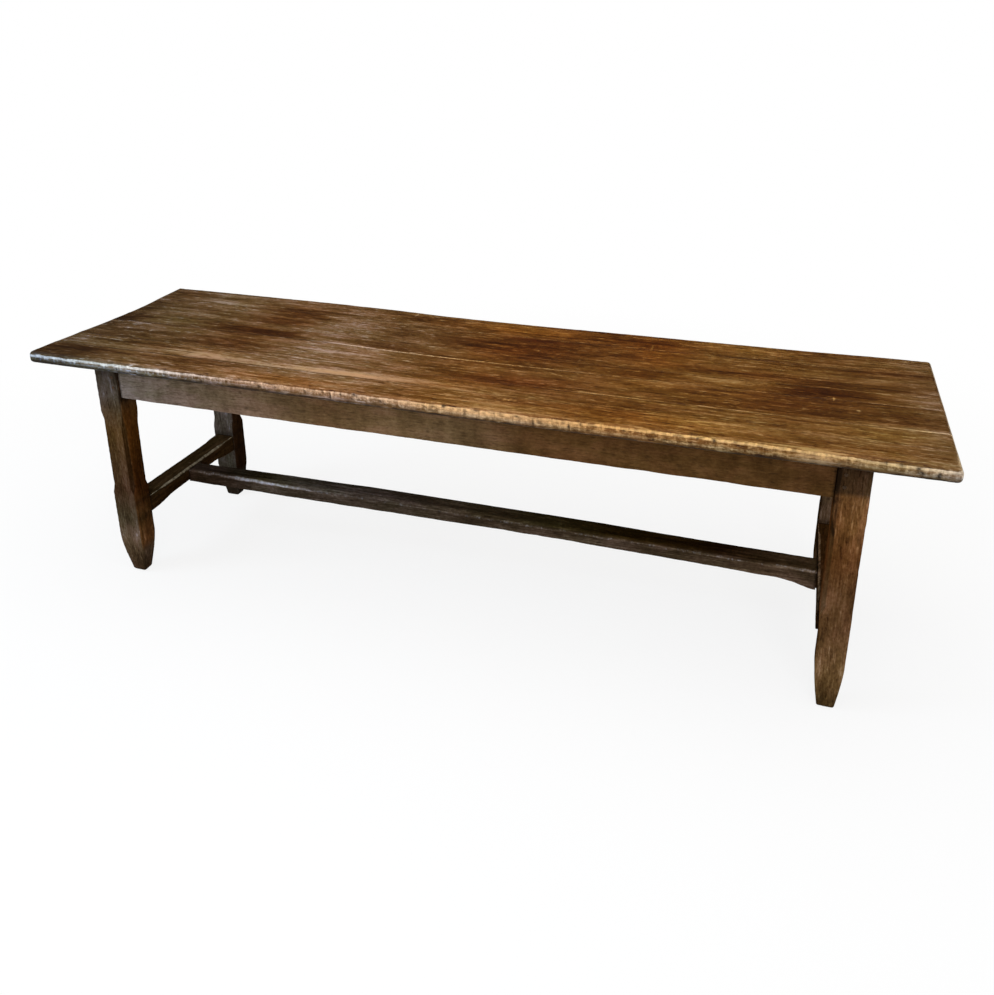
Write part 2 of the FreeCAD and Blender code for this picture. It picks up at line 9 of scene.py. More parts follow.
import bpy
import numpy as np
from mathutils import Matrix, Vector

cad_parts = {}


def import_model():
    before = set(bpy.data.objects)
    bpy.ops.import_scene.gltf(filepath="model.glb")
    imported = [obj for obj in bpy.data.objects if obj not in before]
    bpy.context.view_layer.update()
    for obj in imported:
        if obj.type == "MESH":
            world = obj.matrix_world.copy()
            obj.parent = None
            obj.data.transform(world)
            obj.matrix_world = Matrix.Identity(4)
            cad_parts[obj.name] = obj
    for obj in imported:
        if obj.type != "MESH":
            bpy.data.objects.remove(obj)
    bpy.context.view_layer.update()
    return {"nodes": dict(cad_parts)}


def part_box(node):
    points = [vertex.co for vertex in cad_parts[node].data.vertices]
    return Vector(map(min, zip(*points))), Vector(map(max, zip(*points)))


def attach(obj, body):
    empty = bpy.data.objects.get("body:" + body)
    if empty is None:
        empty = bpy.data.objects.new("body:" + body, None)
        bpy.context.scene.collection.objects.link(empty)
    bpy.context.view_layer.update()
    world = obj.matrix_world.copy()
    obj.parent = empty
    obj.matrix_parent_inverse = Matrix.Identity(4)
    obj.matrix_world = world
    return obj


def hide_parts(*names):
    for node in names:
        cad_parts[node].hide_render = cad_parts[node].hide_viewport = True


LOG = logging.getLogger("farmhouse_table")
MM = 0.001
BODY = "root"

Pair = tuple[float, float]
Triple = tuple[float, float, float]
Colour = Triple
Row = tuple[float, ...]


class Run(Enum):
    """The world axis that a timber's grain runs along, with the two axes of its section."""

    ALONG_X = (0, 1, 2)
    ALONG_Y = (1, 0, 2)
    ALONG_Z = (2, 0, 1)


class Part(Enum):
    """The record's material slots of the pieces that are built anew."""

    TOP = "top_wood"
    APRON = "apron_wood"
    LEG = "leg_wood"
    STRETCHER = "stretcher_wood"


def smooth(value: np.ndarray | float, start: float, stop: float) -> np.ndarray:
    """Rises from 0 at start to 1 at stop, as three times t squared less twice t cubed."""
    t = np.clip((np.asarray(value, float) - start) / (stop - start), 0.0, 1.0)
    return t * t * (3.0 - 2.0 * t)


def bell(value: np.ndarray, centre: float, half_width: float, power: float = 2.0) -> np.ndarray:
    """Gives 1 at the centre and falls off on both sides, as e to minus the power of the scaled distance."""
    return np.exp(-np.abs((np.asarray(value, float) - centre) / half_width) ** power)


class WaveField:
    """Smooth seeded noise over space, for the slow unevenness that hand tools and wear leave.

    It is a sum of cosine waves. Each wave has its own direction, drawn at random and stretched by the
    wavelengths given for X, Y and Z, and its own phase. The sum is scaled so that it stays near -1 to 1.
    """

    WAVES = 22

    def __init__(self, seed: int, wavelengths: Sequence[float]) -> None:
        """Draws the waves.

        Args:
            seed: The seed of this field.
            wavelengths: The typical wavelength along X, Y and Z, in metres.
        """
        random = np.random.default_rng(seed)
        turns = random.normal(size=(self.WAVES, 3)) / np.asarray(wavelengths, float)
        self.waves = turns * (2.0 * math.pi)
        self.phases = random.uniform(0.0, 2.0 * math.pi, self.WAVES)

    def at(self, points: np.ndarray) -> np.ndarray:
        """Evaluates the field.

        Args:
            points: An array of points with 3 numbers each, in metres.

        Returns:
            One number for each point.
        """
        flat = points.reshape(-1, 3)
        total = np.cos(flat @ self.waves.T + self.phases).sum(1)
        return (total / math.sqrt(self.WAVES)).reshape(points.shape[:-1])


@dataclass(frozen=True)
class Dent:
    """A small hollow: a bruise, a chipped place or the mouth of a worm hole."""

    place: Triple
    reach: Triple
    depth: float
    dirt: float


@dataclass(frozen=True)
class Patch:
    """A stretch of the top where the wood is lighter, darker or of another tint."""

    x: float
    y: float
    half_x: float
    half_y: float
    lift: float
    tint: Colour


@dataclass
class Section:
    """The outline of a timber at each of its stations, as a rectangle with worked corners.

    The rectangle's low and high sides are arrays over the stations. Each of its four corners is a
    superellipse: its two reaches say how far it goes along each side, and its power makes it round at 2
    and a straight chamfer at 1. Corners go round from the low side of both axes.
    """

    u_low: np.ndarray
    u_high: np.ndarray
    v_low: np.ndarray
    v_high: np.ndarray
    reach_u: np.ndarray
    reach_v: np.ndarray
    power: np.ndarray
    flats_u: int = 12
    flats_v: int = 12
    corner: int = 6

    def loop(self) -> tuple[np.ndarray, np.ndarray]:
        """Works out the outline.

        A corner's point at the angle t lies at 1 - cos(t) to the power 2 / p of the reach from the corner
        along one side, and at 1 - sin(t) to that power along the other. Between corners the points are
        evenly spaced.

        Returns:
            The u and v coordinates, as an array of stations by points by 2.
            How near each point is to a corner's middle, from 0 on a flat to 1.
        """
        angle = np.linspace(0.0, math.pi / 2, self.corner + 1)[None, :]
        corners = []
        signs = ((-1, -1), (1, -1), (1, 1), (-1, 1))
        for index, (side_u, side_v) in enumerate(signs):
            exponent = 2.0 / self.power[:, index : index + 1]
            leaving = 1.0 - np.clip(np.cos(angle), 0.0, 1.0) ** exponent
            arriving = 1.0 - np.clip(np.sin(angle), 0.0, 1.0) ** exponent
            u_share, v_share = (leaving, arriving) if side_u == side_v else (arriving, leaving)
            u_edge = (self.u_low if side_u < 0 else self.u_high)[:, None]
            v_edge = (self.v_low if side_v < 0 else self.v_high)[:, None]
            u = u_edge - side_u * self.reach_u[:, index : index + 1] * u_share
            v = v_edge - side_v * self.reach_v[:, index : index + 1] * v_share
            corners.append(np.stack([u, v], -1))
        half = self.corner // 2
        rows = [corners[0][:, half:]]
        weight = np.sin(2.0 * angle[0])
        weights = [weight[half:]]
        for index, flats in ((1, self.flats_u), (2, self.flats_v), (3, self.flats_u), (0, self.flats_v)):
            start, stop = rows[-1][:, -1:], corners[index][:, :1]
            steps = np.linspace(0.0, 1.0, flats + 1)[None, 1:-1, None]
            rows.append(start + (stop - start) * steps)
            weights.append(np.zeros(flats - 1))
            whole = corners[index] if index else corners[index][:, :half]
            rows.append(whole)
            weights.append(weight if index else weight[:half])
        return np.concatenate(rows, 1), np.concatenate(weights)


class ClosedForm:
    """A closed surface: a loop carried along stations, with a gridded cap at each end."""

    def __init__(self, rings: np.ndarray, across: int) -> None:
        """Keeps the rings and fills both ends.

        A cap is a Coons patch: each inner point is the sum of the blends of its opposite sides, less the
        blend of the four corners.

        Args:
            rings: Stations by loop points by 3, with the loop starting in the middle of a corner.
            across: The number of facets from one corner's middle to the next along the first side.
        """
        self.stations, self.around = rings.shape[:2]
        self.across = across
        self.rise = self.around // 2 - across
        self.points = [rings.reshape(-1, 3)]
        self.quads = [self._wall()]
        first = self.stations * self.around
        for station in (0, self.stations - 1):
            grid, inner = self._cap(rings[station], station * self.around, first)
            first += len(inner)
            self.points.append(inner)
            quads = self._facets(grid)
            self.quads.append(quads[:, ::-1] if station else quads)

    def _wall(self) -> np.ndarray:
        """Joins each ring to the next.

        Returns:
            The quads.
        """
        index = np.arange(self.stations * self.around).reshape(self.stations, self.around)
        following = np.roll(index, -1, 1)
        quads = np.stack([index[:-1], following[:-1], following[1:], index[1:]], -1)
        return quads.reshape(-1, 4)

    def _cap(self, ring: np.ndarray, base: int, first: int) -> tuple[np.ndarray, np.ndarray]:
        """Fills one end.

        Args:
            ring: The loop of that end.
            base: The index of the loop's first point.
            first: The index that the first inner point gets.

        Returns:
            The grid of point indices, and the inner points.
        """
        a, b = self.across, self.rise
        grid = np.zeros((a + 1, b + 1), int)
        grid[:, 0] = np.arange(a + 1)
        grid[a, :] = a + np.arange(b + 1)
        grid[:, b] = 2 * a + b - np.arange(a + 1)
        grid[0, :] = (self.around - np.arange(b + 1)) % self.around
        s = np.linspace(0.0, 1.0, a + 1)[1:-1, None, None]
        t = np.linspace(0.0, 1.0, b + 1)[None, 1:-1, None]
        low, high = ring[grid[1:-1, 0]][:, None], ring[grid[1:-1, b]][:, None]
        left, right = ring[grid[0, 1:-1]][None], ring[grid[a, 1:-1]][None]
        corners = (
            (1 - s) * (1 - t) * ring[grid[0, 0]]
            + s * (1 - t) * ring[grid[a, 0]]
            + (1 - s) * t * ring[grid[0, b]]
            + s * t * ring[grid[a, b]]
        )
        inner = (1 - t) * low + t * high + (1 - s) * left + s * right - corners
        inner = np.clip(inner, ring.min(0), ring.max(0))
        grid += base
        grid[1:-1, 1:-1] = first + np.arange((a - 1) * (b - 1)).reshape(a - 1, b - 1)
        return grid, inner.reshape(-1, 3)

    @staticmethod
    def _facets(grid: np.ndarray) -> np.ndarray:
        """Joins a grid of indices into quads."""
        quads = np.stack([grid[:-1, :-1], grid[:-1, 1:], grid[1:, 1:], grid[1:, :-1]], -1)
        return quads.reshape(-1, 4)

    def object(self, name: str, fields: dict[str, np.ndarray]) -> bpy.types.Object:
        """Makes the Blender object, turned right side out by the sign of its volume.

        Args:
            name: The piece's name.
            fields: Numbers (one per ring point) or colours (four per ring point) for the material.

        Returns:
            The object, at the origin.
        """
        points = np.concatenate(self.points)
        quads = np.concatenate(self.quads)
        corners = points[quads]
        volume = np.einsum("ij,ij->i", corners[:, 0], np.cross(corners[:, 1], corners[:, 2])).sum()
        volume += np.einsum("ij,ij->i", corners[:, 0], np.cross(corners[:, 2], corners[:, 3])).sum()
        if volume < 0.0:
            quads = quads[:, ::-1]
        mesh = bpy.data.meshes.new(name)
        mesh.vertices.add(len(points))
        mesh.vertices.foreach_set("co", points.astype(np.float32).ravel())
        mesh.loops.add(quads.size)
        mesh.loops.foreach_set("vertex_index", quads.astype(np.int32).ravel())
        mesh.polygons.add(len(quads))
        mesh.polygons.foreach_set("loop_start", np.arange(0, quads.size, 4, dtype=np.int32))
        mesh.update(calc_edges=True)
        mesh.validate()
        mesh.polygons.foreach_set("use_smooth", np.ones(len(mesh.polygons), bool))
        for label, values in fields.items():
            self._store(mesh, label, values)
        piece = bpy.data.objects.new(name, mesh)
        bpy.context.scene.collection.objects.link(piece)
        return piece

    def _store(self, mesh: bpy.types.Mesh, label: str, values: np.ndarray) -> None:
        """Writes one field as a point attribute. A cap takes the mean of the ring that it closes.

        Args:
            mesh: The mesh.
            label: The field's name.
            values: Its values at the ring points.
        """
        colour = values.ndim == 3
        flat = values.reshape(self.stations * self.around, -1)
        parts = [flat]
        for ring, inner in zip((values[0], values[-1]), self.points[1:]):
            mean = ring.reshape(self.around, -1).mean(0)
            parts.append(np.tile(mean, (len(inner), 1)))
        data = np.concatenate(parts).astype(np.float32)
        kind = "FLOAT_COLOR" if colour else "FLOAT"
        attribute = mesh.attributes.new(label, kind, "POINT")
        attribute.data.foreach_set("color" if colour else "value", data.ravel())


def surface_normals(rings: np.ndarray) -> np.ndarray:
    """Finds the outward normal at each ring point, from the differences along and around the form.

    Args:
        rings: Stations by loop points by 3.

    Returns:
        Unit normals of the same shape, pointing away from each ring's middle.
    """
    along = np.gradient(rings, axis=0)
    around = np.roll(rings, -1, 1) - np.roll(rings, 1, 1)
    normal = np.cross(around, along)
    normal /= np.maximum(np.linalg.norm(normal, axis=-1, keepdims=True), 1e-12)
    outward = rings - rings.mean(1, keepdims=True)
    facing = np.sign((normal * outward).sum(-1).sum())
    return normal * facing


@dataclass
class Fields:
    """What the materials read at each point of a piece, beside its place."""

    # Besides tone, wear and dirt, these fields carry painted light: highlight in the lift and the wear,
    # shade in the dirt, both in the tint.
    lift: np.ndarray
    tint: np.ndarray
    wear_and_highlight: np.ndarray
    dirt_and_shade: np.ndarray

    @classmethod
    def plain(cls, rings: np.ndarray) -> "Fields":
        """Starts with no change anywhere."""
        shape = rings.shape[:2]
        return cls(np.zeros(shape), np.ones(shape + (3,)), np.zeros(shape), np.zeros(shape))

    def multiply(self, factors: Any, share: Any) -> None:
        """Multiplies the tint by factors for red, green and blue, as far as each point's share says."""
        self.tint *= 1.0 + (np.asarray(factors) - 1.0) * np.asarray(share)[..., None]

    def table(self) -> dict[str, np.ndarray]:
        """Packs the fields for the mesh: the tint's fourth number carries the lift.

        Returns:
            The mesh's attributes by name.
        """
        tint = np.concatenate([self.tint, 0.5 + 0.5 * self.lift[..., None]], -1)
        return {
            "tint": np.clip(tint, 0.0, 9.0),
            "wear_and_highlight": np.clip(self.wear_and_highlight, 0.0, 1.0),
            "dirt_and_shade": np.clip(self.dirt_and_shade, 0.0, 1.0),
        }


@dataclass(frozen=True)
class Wash:
    """A slow change of tone along one axis, as factors for red, green and blue at a few places."""

    axis: int
    places: Row
    red: Row
    green: Row
    blue: Row

    def on(self, rings: np.ndarray, fields: Fields, share: np.ndarray | float = 1.0) -> None:
        """Multiplies the tint of a piece.

        Args:
            rings: The piece's points.
            fields: The fields to change.
            share: How much of the wash each point takes.
        """
        along = rings[..., self.axis]
        shades = [np.interp(along, self.places, row) for row in (self.red, self.green, self.blue)]
        fields.multiply(np.stack(shades, -1), share)


@dataclass
class Timber:
    """One sawn and worked piece of the table: its form, its wear and its finish."""

    SLOW_WAVES = (0.42, 0.09)
    QUICK_WAVES = (0.07, 0.022)
    NIBBLE_WAVES = (0.03, 0.03)

    name: str
    node: str
    run: Run
    part: Part
    seed: int
    material: bpy.types.Material
    slow_swell: float = 0.45 * MM
    quick_swell: float = 0.12 * MM
    arris_loss: float = 0.5 * MM
    calm_ends: float = 0.0
    dents: list[Dent] = field(default_factory=list)

    def place(self, stations: np.ndarray, loop: np.ndarray) -> np.ndarray:
        """Puts section coordinates and stations into world axes.

        Args:
            stations: The coordinate of each ring along the grain.
            loop: Stations by points by 2.

        Returns:
            Stations by points by 3.
        """
        along, first, second = self.run.value
        rings = np.zeros(loop.shape[:2] + (3,))
        rings[..., along] = stations[:, None]
        rings[..., first] = loop[..., 0]
        rings[..., second] = loop[..., 1]
        return rings

    def wavelengths(self, along: float, across: float) -> Triple:
        """Orders two wavelengths by world axis, the first one along the grain.

        Args:
            along: The one along the grain.
            across: The one across it.

        Returns:
            The wavelengths for X, Y and Z.
        """
        lengths = [across, across, across]
        lengths[self.run.value[0]] = along
        return tuple(lengths)

    def worn(self, rings: np.ndarray, corner: np.ndarray, fields: Fields) -> np.ndarray:
        """Moves the surface inwards where hands, feet and tools have taken wood away.

        The depth is a slow swell along the grain, a quick one from the plane, a loss on the arrises and
        the dents, each of which is an ellipsoid bell round its place.

        Args:
            rings: The sharp form.
            corner: How near each loop point is to a corner's middle.
            fields: The fields, to which the dents add their dirt.

        Returns:
            The worn rings.
        """
        normal = surface_normals(rings)
        slow = WaveField(self.seed, self.wavelengths(*self.SLOW_WAVES)).at(rings)
        quick = WaveField(self.seed + 1, self.wavelengths(*self.QUICK_WAVES)).at(rings)
        nibble = WaveField(self.seed + 2, self.wavelengths(*self.NIBBLE_WAVES)).at(rings)
        depth = self.slow_swell * (1.0 + slow) + self.quick_swell * (1.0 + quick)
        depth += self.arris_loss * corner[None, :] * np.clip(0.6 + 0.6 * nibble, 0.0, None)
        if self.calm_ends:
            along = rings[..., self.run.value[0]]
            end = np.minimum(along - along.min(), along.max() - along)
            depth *= smooth(end, 0.0, self.calm_ends)
        for dent in self.dents:
            away = (rings - np.asarray(dent.place)) / np.asarray(dent.reach)
            hollow = np.exp(-(away**2).sum(-1))
            depth += dent.depth * hollow
            fields.dirt_and_shade += dent.dirt * hollow
        worn = rings - normal * np.clip(depth, 0.0, None)[..., None]
        return np.clip(worn, rings.min((0, 1)), rings.max((0, 1)))

    def finish(self, rings: np.ndarray, across: int, fields: Fields) -> None:
        """Closes the form, dresses it and lets it stand for its CAD node.

        Args:
            rings: The final rings.
            across: The facets along the first side, for the caps.
            fields: What the material reads.
        """
        piece = ClosedForm(rings, across).object(self.name, fields.table())
        piece.data.materials.append(self.material)
        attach(piece, BODY)
        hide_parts(self.node)
        LOG.info("%s stands for %s, with %d faces", self.name, self.node, len(piece.data.polygons))


@dataclass
class TableTop:
    """The six planks of the top: one worn slab, cut along its seams."""

    FOOT_COOL_REFLECTION = (0.92, 1.06, 1.30)

    upper_round: float = 12 * MM
    rear_round: float = 6 * MM
    lower_round: float = 6 * MM
    end_round: float = 14 * MM
    corner_round: float = 6 * MM
    seam_round: float = 1.7 * MM
    end_steps: int = 9
    station_step: float = 3.7 * MM
    flat_step: float = 4.6 * MM
    planks: int = 6
    broad_sag: float = 5.2 * MM
    middle_sag: float = 3.6 * MM
    left_sag: float = 3.0 * MM
    end_hollow: float = 17.0 * MM
    bruises: int = 46
    edge_bruises: int = 70

    def __post_init__(self) -> None:
        """Reads the slab's size from the frame."""
        boxes = [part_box(f"top_plank_{number}") for number in range(1, self.planks + 1)]
        self.front, self.back = boxes[0][0].y, boxes[-1][1].y
        self.left, self.right = boxes[0][0].x, boxes[0][1].x
        self.under, self.upper = boxes[0][0].z, boxes[0][1].z

    def sag(self, x: np.ndarray, y: np.ndarray) -> np.ndarray:
        """How far the top has worn and dished: a wide flat hollow and a bell, both dying out at the front.

        Args:
            x: Where along the top.
            y: Where across it.

        Returns:
            The depth.
        """
        hollow = self.broad_sag * bell(x, 0.35, 0.72, 6.0) + self.middle_sag * bell(x, 0.0, 0.5)
        left_end = self.left_sag * bell(x, self.left, 0.12) * bell(y, 0.05, 0.28)
        return hollow * smooth(y, -0.31, -0.03) + left_end

    def end_inset(self, x: np.ndarray, y: np.ndarray) -> np.ndarray:
        """How far the left end has worn in between its corners, eased out along the planks."""
        return self.end_hollow * bell(y, 0.06, 0.24) * smooth(-x, 1.08, -self.left)

    def stations(self) -> np.ndarray:
        """Places the rings: close together round each end, then evenly.

        Returns:
            Their places in X.
        """
        turn = np.linspace(0.0, math.pi / 2, self.end_steps)
        near = self.end_round * (1.0 - np.cos(turn))
        count = int((self.right - self.left - 2 * self.end_round) / self.station_step)
        middle = np.linspace(self.left + self.end_round, self.right - self.end_round, count)
        return np.concatenate([self.left + near[:-1], middle, self.right - near[::-1][1:]])

    @staticmethod
    def fall(distance: np.ndarray, radius: float) -> np.ndarray:
        """The drop of a rounded edge at a distance inside it: the radius less a quarter circle's height."""
        short = radius - np.minimum(distance, radius)
        return radius - np.sqrt(np.maximum(radius**2 - short**2, 0.0))

    def section(self, number: int, x: np.ndarray) -> Section:
        """Works out one plank's outline at each station.

        Args:
            number: The plank, counted from the front.
            x: The stations.

        Returns:
            The outline, with the slab's rounds on its outer sides and worn seams on the others.
        """
        low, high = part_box(f"top_plank_{number}")
        end = np.minimum(x - self.left, self.right - x)
        ripple = WaveField(number * 7, (0.16, 1.0, 1.0))
        line = np.stack([x, np.full_like(x, low.y), np.zeros_like(x)], -1)
        loose = np.clip(ripple.at(line), -1.5, 1.5)
        outer = self.upper_round if number == 1 else self.rear_round
        eased = 1.0 - 0.9 * self.fall(end, self.end_round) / self.end_round
        upper = outer * (1.0 + 0.05 * loose) * eased
        lower = self.lower_round * eased
        seam = self.seam_round * (1.0 + 0.3 * loose)
        turned = self.fall(end, self.corner_round)
        first, last = number == 1, number == self.planks
        outer_low, outer_high = (lower, upper) if first else (seam, seam)
        inner_low, inner_high = (lower, upper) if last else (seam, seam)
        reach = np.stack([outer_low, inner_low, inner_high, outer_high], -1)
        return Section(
            u_low=low.y + (turned if first else 0.0 * x),
            u_high=high.y - (turned if last else 0.0 * x),
            v_low=self.under + self.fall(end, self.end_round),
            v_high=self.upper - self.fall(end, self.end_round),
            reach_u=reach,
            reach_v=reach,
            power=np.full(reach.shape, 2.0),
            flats_u=int((high.y - low.y) / self.flat_step),
            flats_v=8,
            corner=10,
        )

    def colour(self, rings: np.ndarray, fields: Fields) -> None:
        """Adds the top's patches, with ragged ends where each fibre shifts them, and its marks.

        Args:
            rings: The piece's points.
            fields: The fields to change.
        """
        fibres = WaveField(91, (0.30, 0.012, 1.0)).at(rings)
        drift = WaveField(92, (0.6, 0.10, 1.0)).at(rings)
        x = rings[..., 0] + 0.035 * fibres
        y = rings[..., 1] + 0.004 * drift
        # The wash paints a sheen over the left part as well as tone.
        TOP_WASH.on(rings, fields)
        for patch in TOP_PATCHES:
            share = bell(x, patch.x, patch.half_x, 2.6) * bell(y, patch.y, patch.half_y, 2.6)
            fields.lift += patch.lift * share
            fields.multiply(patch.tint, share)
        for x_mark, y_mark, half_x, half_y, strength in TOP_MARKS:
            away = (rings[..., :2] - (x_mark, y_mark)) / (half_x * MM, half_y * MM)
            fields.wear_and_highlight += strength * np.exp(-(away**2).sum(-1))

    def edge_wear_and_painted_light(self, rings: np.ndarray, fields: Fields) -> None:
        """Pales the outer edges with wear and the front crest with painted highlight, paints shade on their
        foot, then tones the front one.

        Args:
            rings: The piece's points.
            fields: The fields to change.
        """
        x, y = rings[..., 0], rings[..., 1]
        low = rings[..., 2] - self.under
        start = self.foot_start(x)
        front = 1.0 - smooth(y - self.front, 9 * MM, 14 * MM)
        rear = 0.3 * (1.0 - smooth(self.back - y, 3 * MM, 8 * MM))
        ends = 0.75 * (1.0 - smooth(np.minimum(x - self.left, self.right - x), 2 * MM, 8 * MM))
        ends += 0.5 * bell(self.right - x, 0.0, 14 * MM) * (1.0 - smooth(y, -0.34, -0.20))
        upper = smooth(low, 8 * MM, 24 * MM)
        above = self.above_crest(rings)
        worn = self.front_wear_and_highlight(x, low, above)
        fields.wear_and_highlight += np.maximum(front * worn, upper * np.maximum(rear, ends))
        # Painted shade on the foot of the edges and on the lower front edge, and darker above the crest near
        # the left end.
        foot = 1.0 - smooth(low, start, start + 11 * MM)
        fields.dirt_and_shade += 0.9 * foot * np.maximum(front, 0.5 * ends)
        fields.dirt_and_shade += 0.3 * front * (1.0 - upper)
        fields.dirt_and_shade += 0.5 * front * smooth(above, 3.5 * MM, 6 * MM) * (1.0 - smooth(x, -1.1, -0.9))
        face = smooth(self.upper - rings[..., 2], 2.5 * MM, 5.5 * MM)
        # The wash paints a cool reflection near the left end as well as tone.
        FRONT_EDGE_WASH.on(rings, fields, front * face)
        # A painted cool reflection on the lower front edge, strongest near the left end.
        lower = front * (1.0 - smooth(low, 12 * MM, 21 * MM)) * np.interp(x, (-1.0, -0.4), (1.9, 1.0))
        fields.multiply(self.FOOT_COOL_REFLECTION, lower)

    @staticmethod
    def foot_start(x: np.ndarray) -> np.ndarray:
        """How far over the underside the front edge's dark foot, a painted shade, begins."""
        return MM * np.interp(x, (-0.5, 0.2), (3.0, 0.0))

    def above_crest(self, rings: np.ndarray) -> np.ndarray:
        """How far each point lies above the worn crest of the front edge, which wanders."""
        wander = 0.6 * MM * WaveField(93, (0.07, 0.07, 0.07)).at(rings)
        return rings[..., 2] - self.under - np.interp(rings[..., 0], *FRONT_EDGE[:2]) * MM + wander

    def front_wear_and_highlight(self, x: np.ndarray, low: np.ndarray, above: np.ndarray) -> np.ndarray:
        """How pale the front edge is: a thin bright crest, a painted highlight on worn wood, a mottled tail
        under it and a band below.

        Args:
            x: Where along the top.
            low: The height over the underside.
            above: The height over the crest.

        Returns:
            The wear and painted highlight.
        """
        start = self.foot_start(x)
        strength, tail, band = (np.interp(x, FRONT_EDGE[0], row) for row in FRONT_EDGE[2:])
        crest = (1.0 - smooth(above, 0.8 * MM, 4.0 * MM)) * (1.0 - smooth(-above, 1.5 * MM, 6.0 * MM))
        below = (1.0 - smooth(above, 0.0, 3 * MM)) * smooth(low, start, start + 20 * MM)
        below = np.maximum(tail * below, band * bell(low, 13.5 * MM, 5 * MM))
        return np.maximum(strength * crest, below)

    def seam_marks(self, number: int, rings: np.ndarray, fields: Fields) -> None:
        """Paints highlight on the plank's two upper arrises where the seams catch light, and shade where
        they are dark.

        Args:
            number: The plank, counted from the front.
            rings: The piece's points.
            fields: The fields to change.
        """
        low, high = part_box(f"top_plank_{number}")
        upper = smooth(rings[..., 2], self.under + 20 * MM, self.under + 30 * MM)
        ragged = np.clip(0.75 + 0.3 * WaveField(94, (0.05, 0.05, 0.05)).at(rings), 0.0, 1.0)
        for side, reach in ((low.y, 4.5 * MM), (high.y, 3.0 * MM)):
            near = (1.0 - smooth(np.abs(rings[..., 1] - side), 0.4 * MM, reach)) * upper
            seam = min(SEAM_MARKS, key=lambda mark: abs(mark.y - side))
            if abs(seam.y - side) > 5 * MM:
                continue
            light = np.interp(rings[..., 0], seam.x_places, seam.light)
            side_share = 1.0 if side == low.y else 0.3
            # The caught light is painted as lift and wear, the dark seam as painted shade.
            fields.lift += 0.55 * near * light * ragged * side_share
            fields.wear_and_highlight += 0.5 * near * np.clip(light - 0.6, 0.0, 1.0) * side_share
            fields.dirt_and_shade += near * np.interp(rings[..., 0], seam.x_places, seam.dark)

    def plank(self, number: int, material: bpy.types.Material) -> None:
        """Builds one plank.

        Args:
            number: The plank, counted from the front.
            material: Its finish.
        """
        x = self.stations()
        section = self.section(number, x)
        loop, corner = section.loop()
        timber = Timber(
            name=f"plank_{number}",
            node=f"top_plank_{number}",
            run=Run.ALONG_X,
            part=Part.TOP,
            seed=100 + 10 * number,
            material=material,
            slow_swell=0.22 * MM,
            quick_swell=0.14 * MM,
            arris_loss=0.4 * MM,
            calm_ends=14 * MM,
            dents=self.dents(number),
        )
        rings = timber.place(x, loop)
        fields = Fields.plain(rings)
        self.colour(rings, fields)
        self.edge_wear_and_painted_light(rings, fields)
        self.seam_marks(number, rings, fields)
        rings = timber.worn(rings, corner, fields)
        share = (rings[..., 2] - self.under) / (self.upper - self.under)
        across = (rings[..., 1] - section.u_low.mean()) / (section.u_high.mean() - section.u_low.mean())
        cup = PLANK_CUPS[number - 1] * (1.0 - (2.0 * across - 1.0) ** 2)
        drop = self.sag(rings[..., 0], rings[..., 1]) + PLANK_STEPS[number - 1] + cup
        rings[..., 2] -= np.clip(share, 0.0, 1.0) * drop
        rings[..., 0] += self.end_inset(rings[..., 0], rings[..., 1])
        timber.finish(rings, section.corner + section.flats_u, fields)

    def dents(self, number: int) -> list[Dent]:
        """Gathers the nicks of the front edge and seeded bruises for one plank.

        Args:
            number: The plank, counted from the front.

        Returns:
            The dents.
        """
        low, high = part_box(f"top_plank_{number}")
        random = np.random.default_rng(500 + number)
        marks = []
        for _ in range(self.bruises):
            size = random.uniform(2.0, 6.0) * MM
            place = (random.uniform(self.left, self.right), random.uniform(low.y, high.y), self.upper)
            reach = (size * random.uniform(1.0, 3.0), size, size)
            marks.append(Dent(place, reach, random.uniform(0.2, 0.7) * MM, random.uniform(0.0, 0.35)))
        edge_y = {1: self.front, self.planks: self.back}.get(number)
        if edge_y is not None:
            for _ in range(self.edge_bruises):
                size = random.uniform(1.6, 4.5) * MM
                height = self.under + random.uniform(12.0, 37.0) * MM
                place = (random.uniform(self.left, self.right), edge_y, height)
                reach = (size * random.uniform(0.7, 1.8), 5 * MM, size)
                marks.append(Dent(place, reach, random.uniform(0.6, 2.0) * MM, random.uniform(0.3, 0.9)))
        if number == 1:
            marks += [
                Dent((x, self.front, z), (half * MM, 6 * MM, rise * MM), depth * MM, 0.95)
                for x, z, half, rise, depth in FRONT_EDGE_NICKS
            ]
        return marks


@dataclass(frozen=True)
class SeamMark:
    """How one seam of the top shows along its length: painted caught light and painted shade at a few
    places.
    """

    y: float
    x_places: Row
    light: Row
    dark: Row


# The seams from front to back
SEAM_MARKS = (
    SeamMark(-0.261, (-1.28, -0.9, -0.2, 0.1, 0.3, 0.5, 1.28), (0.0, 0.0, 0.1, 0.2, 0.6, 0.5, 0.3),
             (0.6, 0.8, 0.7, 0.3, 0.1, 0.1, 0.2)),
    SeamMark(-0.167, (-1.28, -0.55, -0.45, -0.3, 0.25, 0.35, 1.1, 1.2, 1.28),
             (0.1, 0.2, 0.8, 0.1, 0.1, 0.9, 0.9, 1.5, 1.5),
             (0.3, 0.2, 0.1, 0.2, 0.2, 0.1, 0.1, 0.0, 0.0)),
    SeamMark(-0.016, (-1.28, -0.55, -0.42, 0.2, 0.3, 1.28), (0.1, 0.1, 1.3, 1.3, 0.3, 0.2),
             (0.5, 0.8, 0.0, 0.0, 0.2, 0.2)),
    SeamMark(0.063, (-1.28, 0.4, 0.6, 0.9, 1.2, 1.28), (0.05, 0.1, 0.3, 0.7, 0.7, 0.2),
             (0.3, 0.3, 0.2, 0.1, 0.1, 0.2)),
    SeamMark(0.2357, (-1.28, 0.0, 1.28), (0.15, 0.2, 0.25), (0.3, 0.3, 0.2)),
)
